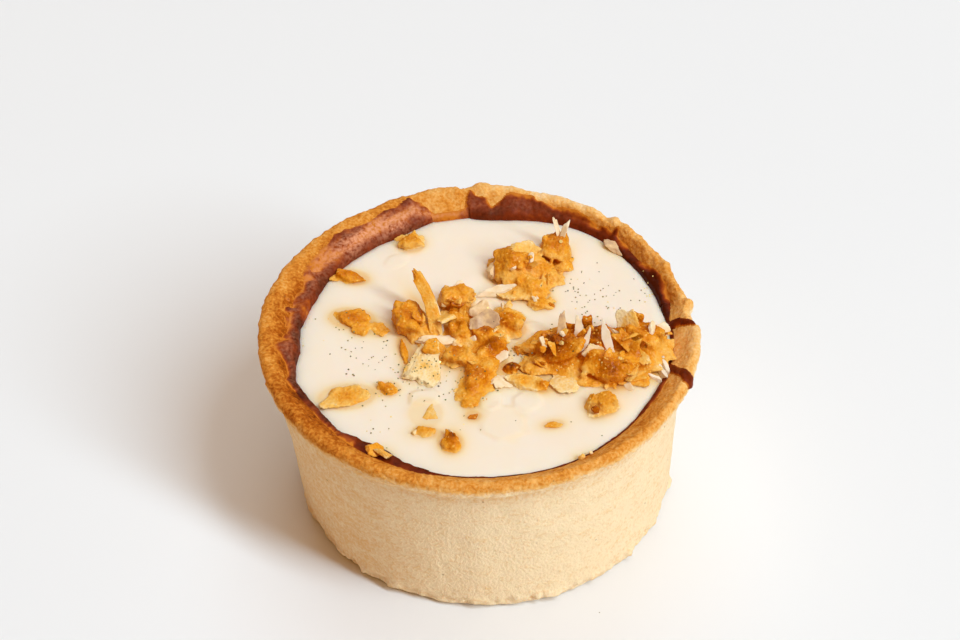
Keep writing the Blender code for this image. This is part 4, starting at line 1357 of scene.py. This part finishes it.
SUNKEN_FLAKES = as_rows(
    (OVAL, 2.4, -12.6, 0.0, 4.6, 5.6, 0.14, 10, 0, 0, HONEY),
    (OVAL, 5.0, -9.4, 0.0, 3.4, 3.0, 0.16, 30, 0, 0, STRAW),
    (OVAL, 1.2, -9.6, 0.0, 2.4, 3.4, 0.18, -20, 0, 0, HONEY),
    (OVAL, -5.6, -9.0, 0.0, 3.8, 2.6, 0.16, 0, 0, 0, AMBER),
    (OVAL, 6.2, 1.4, 0.0, 3.0, 1.8, 0.12, -30, 0, 0, HONEY),
    (OVAL, -9.0, 12.0, 0.0, 3.4, 2.2, 0.08, 40, 0, 0, STRAW),
)


def icosphere(subdivisions: int) -> tuple[Array, Array]:
    """Points and triangles of a unit icosphere.

    Args:
        subdivisions: how often its faces are cut in four, less one.

    Returns:
        One row of X, Y and Z for each point, and one row of point numbers for each triangle.
    """
    shape = bmesh.new()
    bmesh.ops.create_icosphere(shape, subdivisions=subdivisions, radius=1.0)
    points = np.array([vertex.co for vertex in shape.verts])
    faces = np.array([[vertex.index for vertex in face.verts] for face in shape.faces])
    shape.free()
    return points, faces


@dataclass
class Brittle:
    """A group of brittle: thick caramel fused into one grainy body, with plates, flakes and crumbs on it."""

    name: str
    node: str
    rows: tuple[BrittleRow, ...]
    cream_level: float
    seed: int
    caramel: bpy.types.Material
    almond: bpy.types.Material
    crumbs: int = 60
    crumb_size: Pair = (0.35, 0.95)
    crumb_reach: float = 0.56  # how far from the middle of a nugget they fall, in its own sizes
    crumb_turn: float = 40.0
    shards: float = 0.35  # the share of flat ones among the crumbs
    crumb_from: float = 2.1  # the length from which a nugget gets crumbs
    fused_from: float = 0.55  # the height from which caramel is fused
    voxel: float = 0.13
    soften: int = 5
    skirt: Pair = (1.16, 0.34)  # how much wider and lower than a nugget the syrup round its foot is
    grain: float = 0.36
    sunk: float = 0.25
    facets: int = 15
    sharpness: float = 18.0
    finer_from: Pair = (1.0, 2.4)  # widths from which a plate gets a finer mesh
    sugar_height: float = 0.11  # how high the grains of sugar stand
    spread: float = 0.05  # how much lighter or darker than its row a single piece comes out
    fused_spread: float = 0.08
    thin_edge: float = 0.10  # how much paler a single piece is at its edge
    crease_shade: float = 0.07  # painted shade: how much darker the creases between grains are
    clear_edge: float = 0.25  # how much paler a nugget is at its edge than at its core
    torn_faces: tuple[Layer, ...] = (Layer(0.9, 1.1, 41), Layer(0.5, 0.45, 42))
    clouds: tuple[Layer, ...] = (Layer(0.14, 1.0, 43),)
    fused_relief: tuple[Layer, ...] = (Layer(0.08, 1.0, 41), Layer(0.05, 0.26, 42))
    fused_clouds: tuple[Layer, ...] = (Layer(0.08, 0.9, 43), Layer(0.11, 2.2, 44))

    def _crumbs(self, tree: BVHTree, faces_each: int, draw: np.random.Generator) -> list[BrittleRow]:
        """Small crumbs and flakes, dropped onto the thick pieces and round their feet.

        Args:
            tree: the main pieces.
            faces_each: how many faces each of them has in the tree.
            draw: where the chances come from.

        Returns:
            One row for each crumb.
        """
        nuggets = [row for row in self.rows if row.shape in (LUMP, CHUNK) and row.length >= self.crumb_from]
        share = np.array([row.length * row.width for row in nuggets])
        made = []
        for _ in range(self.crumbs):
            row = nuggets[draw.choice(len(nuggets), p=share / share.sum())]
            azimuth, reach = draw.uniform(0.0, math.tau), self.crumb_reach * math.sqrt(draw.random())
            along, across = reach * row.length * math.cos(azimuth), reach * row.width * math.sin(azimuth)
            yaw = math.radians(row.yaw)
            x = row.x + along * math.cos(yaw) - across * math.sin(yaw)
            y = row.y + along * math.sin(yaw) + across * math.cos(yaw)
            hit, _, face, _ = tree.ray_cast(Vector((x, y, DROP_FROM)), Vector((0.0, 0.0, -1.0)))
            if hit and self.rows[face // faces_each].height < self.fused_from:
                continue
            size = self.crumb_size[0] + (self.crumb_size[1] - self.crumb_size[0]) * draw.random() ** 1.6
            lift = max(hit.z - self.cream_level - 0.5 * size, 0.0) if hit else 0.0
            turns = draw.uniform(-self.crumb_turn, self.crumb_turn, 3)
            if draw.random() < self.shards:
                tone = (row.tone, AMBER, HONEY, HONEY, STRAW, STRAW, ALMOND)[draw.integers(0, 7)]
                shape = (PLATE, TRIANGLE, STRIP, BLADE)[draw.integers(0, 4)]
                sides = (1.8 * size + 0.4, 0.9 * size + 0.2, 0.24)
                row = BrittleRow(shape, x, y, lift, *sides, 4.5 * turns[0], *turns[1:], tone)
            else:
                tone = row.tone if draw.random() < 0.4 else HONEY
                row = BrittleRow(LUMP, x, y, lift, size, 0.9 * size, 0.7 * size, turns[0], tone=tone)
            made.append(row)
        return made

    def _planes(self, row: BrittleRow, draw: np.random.Generator) -> Array:
        """Faces of a piece in a unit box, each as its normal and its distance from the middle."""
        if row.shape is LUMP:
            normals = draw.normal(size=(self.facets, 3))
            normals /= np.linalg.norm(normals, axis=1, keepdims=True)
            return np.column_stack((normals, draw.uniform(0.34, 0.54, self.facets)))
        corners = np.array(row.shape.value) + draw.uniform(-0.05, 0.05, (len(row.shape.value), 2))
        edges = np.roll(corners, -1, axis=0) - corners
        outwards = np.column_stack((edges[:, 1], -edges[:, 0], 0.25 * draw.normal(size=len(edges))))
        outwards[:, 2] *= np.linalg.norm(edges, axis=1)
        outwards /= np.linalg.norm(outwards, axis=1, keepdims=True)
        reach = (outwards[:, :2] * corners).sum(axis=1)
        lids = np.array(((0.04, 0.03, 1.0, 0.5), (-0.03, 0.02, -1.0, 0.5)))
        return np.concatenate((np.column_stack((outwards, np.maximum(reach, 0.06))), lids))

    def _piece(
        self, row: BrittleRow, ball: Array, draw: np.random.Generator, index: int
    ) -> tuple[Array, Array]:
        """Shape one piece.

        Args:
            row: the piece.
            ball: points of a unit ball.
            draw: where its chances come from.
            index: its number, so that no two pieces are torn alike.

        Returns:
            The piece's points in place, and how dark each is.
        """
        planes = self._planes(row, draw)
        lean = np.maximum(ball @ planes[:, :3].T, 0.0) / planes[:, 3]
        body = ball * (lean**self.sharpness).sum(axis=1, keepdims=True) ** (-1.0 / self.sharpness)
        low, high = body.min(axis=0), body.max(axis=0)
        size = np.array((row.length, row.width, row.height))
        round_it = ball * (1.0, 1.0, 0.0)
        round_it /= np.maximum(np.linalg.norm(round_it, axis=1, keepdims=True), 0.2)
        ragged = 1.0 + 0.10 * lumps(2.4 * round_it + index, 1.0, 71)
        ragged = ragged + 0.08 * lumps(6.0 * round_it + index, 1.0, 72)
        body = ((body - low) / (high - low) - 0.5) * size
        body[:, :2] *= ragged[:, None]
        own = body + 7.3 * index
        out = ball / size
        out /= np.linalg.norm(out, axis=1, keepdims=True)
        body = body + out * (min(0.20, 0.14 * size.min()) * layered(own, self.torn_faces))[:, None]
        along = body[:, 0] / row.length
        arch = (along * 2.0) ** 2 - 0.3
        body[:, 1] += row.bend * arch
        body[:, 2] += row.curl * arch
        turn = Euler((math.radians(row.roll), math.radians(row.pitch), math.radians(row.yaw))).to_matrix()
        body = body @ np.array(turn).T
        foot = self.cream_level + row.lift
        body[:, 2] += foot - body[:, 2].min()
        share = (body[:, 2] - foot) / max(np.ptp(body[:, 2]), 0.1)
        body[:, 2] -= self.sunk * (row.lift >= 0.0) * (1.0 - share)
        body[:, :2] += (row.x, row.y)
        tone = row.tone.darkness + draw.uniform(-self.spread, self.spread) + row.fade * along
        tone = tone + layered(own, self.clouds)
        return body, tone - self.thin_edge * smooth_step(0.7, 1.0, np.linalg.norm(ball[:, :2], axis=1))

    def _fused(self, rows: list[BrittleRow], draw: np.random.Generator) -> tuple[Array, Array, Array]:
        """Run thick caramel together into one body with syrup round its foot and sugar grain all over.

        Args:
            rows: the pieces that go into it.
            draw: where their chances come from.

        Returns:
            The body's points, its four-sided faces, and how dark each point is.
        """
        ball, triangles = icosphere(4)
        parts = list(rows)
        wider, lower = self.skirt
        for row in rows:
            if row.lift <= 0.0 and row.length > 1.2:
                flat = {"length": wider * row.length + 0.3, "width": wider * row.width + 0.3}
                parts.append(row._replace(height=lower * row.height + 0.1, shape=LUMP, **flat))
        points = [self._piece(row, ball, draw, index)[0] for index, row in enumerate(parts)]
        faces = [triangles + index * len(ball) for index in range(len(parts))]
        body = skin("fused", np.concatenate(points) / MM, np.concatenate(faces).tolist(), {})
        fuse = body.modifiers.new("fuse", "REMESH")
        fuse.mode = "VOXEL"
        fuse.voxel_size = self.voxel
        soften = body.modifiers.new("soften", "SMOOTH")
        soften.iterations = self.soften
        mesh = body.evaluated_get(bpy.context.evaluated_depsgraph_get()).to_mesh()
        place, normal = np.empty(3 * len(mesh.vertices)), np.empty(3 * len(mesh.vertices))
        mesh.vertices.foreach_get("co", place)
        mesh.vertex_normals.foreach_get("vector", normal)
        place, normal = place.reshape(-1, 3), normal.reshape(-1, 3)
        quads = np.array([list(face.vertices) for face in mesh.polygons])
        bpy.data.objects.remove(body, do_unlink=True)

        sugar = grains(place, self.grain, 40)
        bumps = self.sugar_height * (sugar - 0.45) + layered(place, self.fused_relief)
        height = place[:, 2] - self.cream_level
        tone, total, core = np.full(len(place), 1e-6), np.full(len(place), 2e-6), np.zeros(len(place))
        for row in rows:
            share = np.exp(-3.0 * row.reach(place, 0.1) ** 2)
            tone += share * (row.tone.darkness + draw.uniform(-self.fused_spread, self.fused_spread))
            total += share
            core = np.maximum(core, np.sqrt(share) * (row.length > self.crumb_from))
        tone = tone / total + 0.04 * (smooth_step(0.3, 2.2, height) - 0.5) + self.clear_edge * (core - 0.60)
        tone = tone * (0.50 + 0.50 * smooth_step(-0.10, 0.45, height))
        # Painted shade in the creases between the sugar grains.
        tone = tone + self.crease_shade * (0.5 - sugar) + layered(place, self.fused_clouds)
        return place + normal * bumps[:, None], quads, tone

    def build(self) -> bpy.types.Object:
        """Make the pieces, join them and dress them.

        Returns:
            The group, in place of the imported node.
        """
        draw = np.random.default_rng(self.seed)
        balls = [icosphere(fineness) for fineness in (3, 4, 5)]
        main = [self._piece(row, balls[0][0], draw, 0)[0] for row in self.rows]
        faced = np.concatenate([balls[0][1] + index * len(balls[0][0]) for index in range(len(main))])
        tree = BVHTree.FromPolygons(np.concatenate(main).tolist(), faced.tolist())
        rows = [*self.rows, *self._crumbs(tree, len(balls[0][1]), draw)]
        thick = [row for row in rows if row.tone.stuff == "caramel" and row.height >= self.fused_from]
        thick += [row for row in rows if row.shape is LUMP and row.height < self.fused_from]
        bodies = [(*self._fused(thick, draw), "caramel")]
        for index, row in enumerate(row for row in rows if row not in thick):
            ball, triangles = balls[sum(max(row.length, row.width) > width for width in self.finer_from)]
            body, tone = self._piece(row, ball, draw, index)
            bodies.append((body, triangles, tone, row.tone.stuff))
        points, corners, tones, stuffs = zip(*bodies)
        starts = np.cumsum([0] + [len(body) for body in points])
        faces = [face for part, start in zip(corners, starts) for face in (part + start).tolist()]
        group = skin(self.name, np.concatenate(points), faces, {"tone": np.concatenate(tones)})
        group.data.materials.append(self.caramel)
        group.data.materials.append(self.almond)
        is_almond = np.repeat([stuff == "almond" for stuff in stuffs], [len(part) for part in corners])
        group.data.polygons.foreach_set("material_index", is_almond.astype(np.int32))
        return settle(group, "brittle", self.node)


# ---- Small scattered things ----


class Patch(NamedTuple):
    """A patch of dust: its middle and half widths in mm, how many flakes, and the share of bright ones.

    Larger is how many times as large as usual its flakes are.
    """

    x: float
    y: float
    half_x: float
    half_y: float
    count: int
    bright: float
    larger: float = 1.0


@dataclass
class GoldDust:
    """Milled gold flakes, lying on whatever is uppermost where they fell."""

    finish: GoldFlake = field(default_factory=GoldFlake)
    # Bright flakes are painted highlights, and the last two patches are single large beads, painted bright.
    patches: tuple[Patch, ...] = (
        Patch(-12.0, -1.5, 3.2, 5.5, 44, 0.1), Patch(-7.5, -6.0, 3.2, 3.0, 50, 0.1),
        Patch(-4.5, -5.0, 2.6, 3.0, 34, 0.25), Patch(-1.0, -7.0, 2.4, 3.0, 18, 0.2),
        Patch(3.8, -3.4, 1.4, 1.6, 14, 0.15), Patch(3.0, 0.5, 3.0, 3.0, 22, 0.6),
        Patch(12.5, 6.0, 4.0, 3.6, 56, 0.1), Patch(9.5, 8.5, 3.5, 3.5, 16, 0.2),
        Patch(18.2, 7.6, 0.9, 2.6, 10, 1.0), Patch(11.0, -3.0, 4.5, 3.0, 26, 0.9),
        Patch(-18.6, -1.0, 0.8, 3.0, 4, 1.0), Patch(-11.0, -13.5, 3.5, 3.0, 14, 0.3),
        Patch(1.0, -13.0, 7.0, 4.0, 10, 0.0), Patch(8.8, 12.3, 0.0, 0.0, 1, 1.0, 3.2),
        Patch(8.6, -3.4, 0.0, 0.0, 1, 1.0, 3.2),
    )
    spread: float = 0.6  # how far flakes lie from a patch's middle in the mean, in its half widths
    bright: Pair = (0.85, 1.0)  # how much bright flakes shine, as painted highlights, and dull ones
    dull: Pair = (0.0, 0.4)
    tilt: float = 0.25
    clearance: float = 0.01
    width: Pair = (0.11, 0.22)
    thickness: float = 0.03
    sides: int = 6
    seed: int = 19

    def build(self) -> bpy.types.Object:
        """Drop each flake straight down onto the tartlet, and dress them.

        Returns:
            All flakes, as one piece.
        """
        draw = np.random.default_rng(self.seed)
        scene = bpy.context.scene
        graph = bpy.context.evaluated_depsgraph_get()
        points, faces, shines = [], [], []
        for patch in self.patches:
            for _ in range(patch.count):
                x = patch.x + self.spread * patch.half_x * draw.normal()
                y = patch.y + self.spread * patch.half_y * draw.normal()
                width = patch.larger * draw.uniform(*self.width)
                shine = draw.uniform(*(self.bright if draw.random() < patch.bright else self.dull))
                tilt = draw.normal(scale=self.tilt, size=2)
                above = Vector((x, y, DROP_FROM)) * MM
                hit, place, normal, *_ = scene.ray_cast(graph, above, Vector((0, 0, -1)))
                if not hit:
                    continue
                up = (Vector(normal) + Vector((tilt[0], tilt[1], 0.0))).normalized()
                side = up.orthogonal().normalized()
                other = up.cross(side)
                start = len(points)
                for lift in (0.0, patch.larger**2 * self.thickness):
                    for corner in range(self.sides):
                        turn = math.tau * corner / self.sides
                        across = side * math.cos(turn) + other * math.sin(turn)
                        points.append(place / MM + across * (0.5 * width) + up * (lift + self.clearance))
                shines += 2 * self.sides * [shine]
                ring = list(range(start, start + self.sides))
                upper = [number + self.sides for number in ring]
                sides = zip(ring, ring[1:] + ring[:1], upper[1:] + upper[:1], upper)
                faces += [ring[::-1], upper, *sides]
        dust = skin("gold_dust", np.array(points), faces, {"shine": np.array(shines)})
        dust.data.shade_flat()
        dust.data.materials.append(self.finish.material())
        return settle(dust, "brittle")


# ---- Studio ----


@dataclass(frozen=True)
class Softbox:
    """A soft lamp that faces the tartlet: where it hangs in degrees and mm, its size and its power."""

    name: str
    azimuth: float
    elevation: float
    distance: float
    width: float
    height: float
    power: float
    colour: str

    def hang(self) -> None:
        """Add the lamp to the scene."""
        lamp = bpy.data.objects.new(self.name, bpy.data.lights.new(self.name, "AREA"))
        lamp.data.shape = "RECTANGLE"
        lamp.data.size, lamp.data.size_y = self.width * MM, self.height * MM
        lamp.data.energy = self.power
        lamp.data.color = linear(self.colour)[:3]
        azimuth, elevation = math.radians(self.azimuth), math.radians(self.elevation)
        flat = math.cos(elevation)
        towards = Vector((flat * math.cos(azimuth), flat * math.sin(azimuth), math.sin(elevation)))
        lamp.location = towards * self.distance * MM
        lamp.rotation_euler = towards.to_track_quat("Z", "Y").to_euler()
        bpy.context.scene.collection.objects.link(lamp)


@dataclass
class Studio:
    """A pale sweep, a tall narrow softbox at the front right, large ones above and behind, and the camera."""

    target: tuple[float, float, float] = (0.1, 4.0, 18.88)
    distance: float = 275.6
    elevation: float = 42.95
    lens: float = 97.5
    sensor: float = 36.0
    floor_half: float = 2500.0
    floor_drop: float = 0.03
    lamps: tuple[Softbox, ...] = (
        Softbox("key", -36.0, 47.0, 2400.0, 340.0, 2000.0, 58.8, "#DCF1FF"),
        Softbox("overhead", 0.0, 88.0, 3000.0, 2200.0, 2200.0, 19.8, "#FFF5F0"),
        Softbox("back", 90.0, 50.0, 3000.0, 2000.0, 2000.0, 20.5, "#C6EBFF"),
    )
    room_colour: str = "#FFBF72"  # warm bounce
    room_strength: float = 0.285

    def build(self) -> None:
        """Make the floor, the lights and the camera."""
        half = self.floor_half
        corners = np.array([(-half, -half), (half, -half), (half, half), (-half, half)])
        points = np.column_stack((corners, np.full(4, -self.floor_drop)))
        floor = skin("floor", points, [(0, 1, 2, 3)], {})
        floor.data.materials.append(StudioPaper().material())

        scene = bpy.context.scene
        for lamp in self.lamps:
            lamp.hang()

        room = bpy.data.worlds.new("room")
        room.use_nodes = True
        room.node_tree.nodes.clear()
        glow = {"Color": linear(self.room_colour), "Strength": self.room_strength}
        light = add_node(room.node_tree, "Background", glow)
        add_node(room.node_tree, "OutputWorld", {"Surface": light.outputs[0]})
        scene.world = room
        scene.view_settings.view_transform = "Standard"

        camera = bpy.data.objects.new("camera", bpy.data.cameras.new("camera"))
        camera.data.lens = self.lens
        camera.data.sensor_width = self.sensor
        camera.data.clip_start = 0.01
        camera.data.clip_end = 10.0
        tilt = math.radians(self.elevation)
        back = Vector((0.0, -math.cos(tilt), math.sin(tilt)))
        camera.location = (Vector(self.target) + back * self.distance) * MM
        camera.rotation_euler = (math.radians(90.0) - tilt, 0.0, 0.0)
        scene.collection.objects.link(camera)
        scene.camera = camera


def report(piece: bpy.types.Object) -> None:
    """Log a piece's name, its number of triangles and its size in millimetres."""
    triangles = sum(len(face.vertices) - 2 for face in piece.data.polygons)
    size = " x ".join(f"{side / MM:.1f}" for side in piece.dimensions)
    LOG.info("%s: %d triangles, %s mm", piece.name, triangles, size)


def main() -> None:
    """Build the studio and the tartlet."""
    logging.basicConfig(level=logging.INFO, format="%(message)s")
    Studio().build()
    form = PressedForm()
    crust = PastryCrust(form)
    coat = ChocolateCoat(crust)
    caramel, almond = BrokenCaramel().material(), ToastedAlmond().material()
    everything = [*HEAP_RIGHT, *HEAP_MIDDLE, *HEAP_BACK, *SINGLE_PIECES]
    makers: list[Callable[[], bpy.types.Object]] = [
        crust.build,
        coat.build,
        LemonCream(coat, everything, SUNKEN_FLAKES).build,
    ]
    groups = (
        ("brittle_right", "brittle_heap_right", HEAP_RIGHT, 110),
        ("brittle_middle", "brittle_heap_middle", HEAP_MIDDLE, 80),
        ("brittle_back", "brittle_heap_back", HEAP_BACK, 50),
        ("brittle_singles", "lemon_cream", SINGLE_PIECES, 12),
    )
    for seed, (name, node, rows, crumbs) in enumerate(groups):
        makers.append(Brittle(name, node, rows, form.cream_level, seed, caramel, almond, crumbs).build)
    makers.append(GoldDust().build)
    for make in makers:
        report(make())
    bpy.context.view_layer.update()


if __name__ == "__main__":
    main()
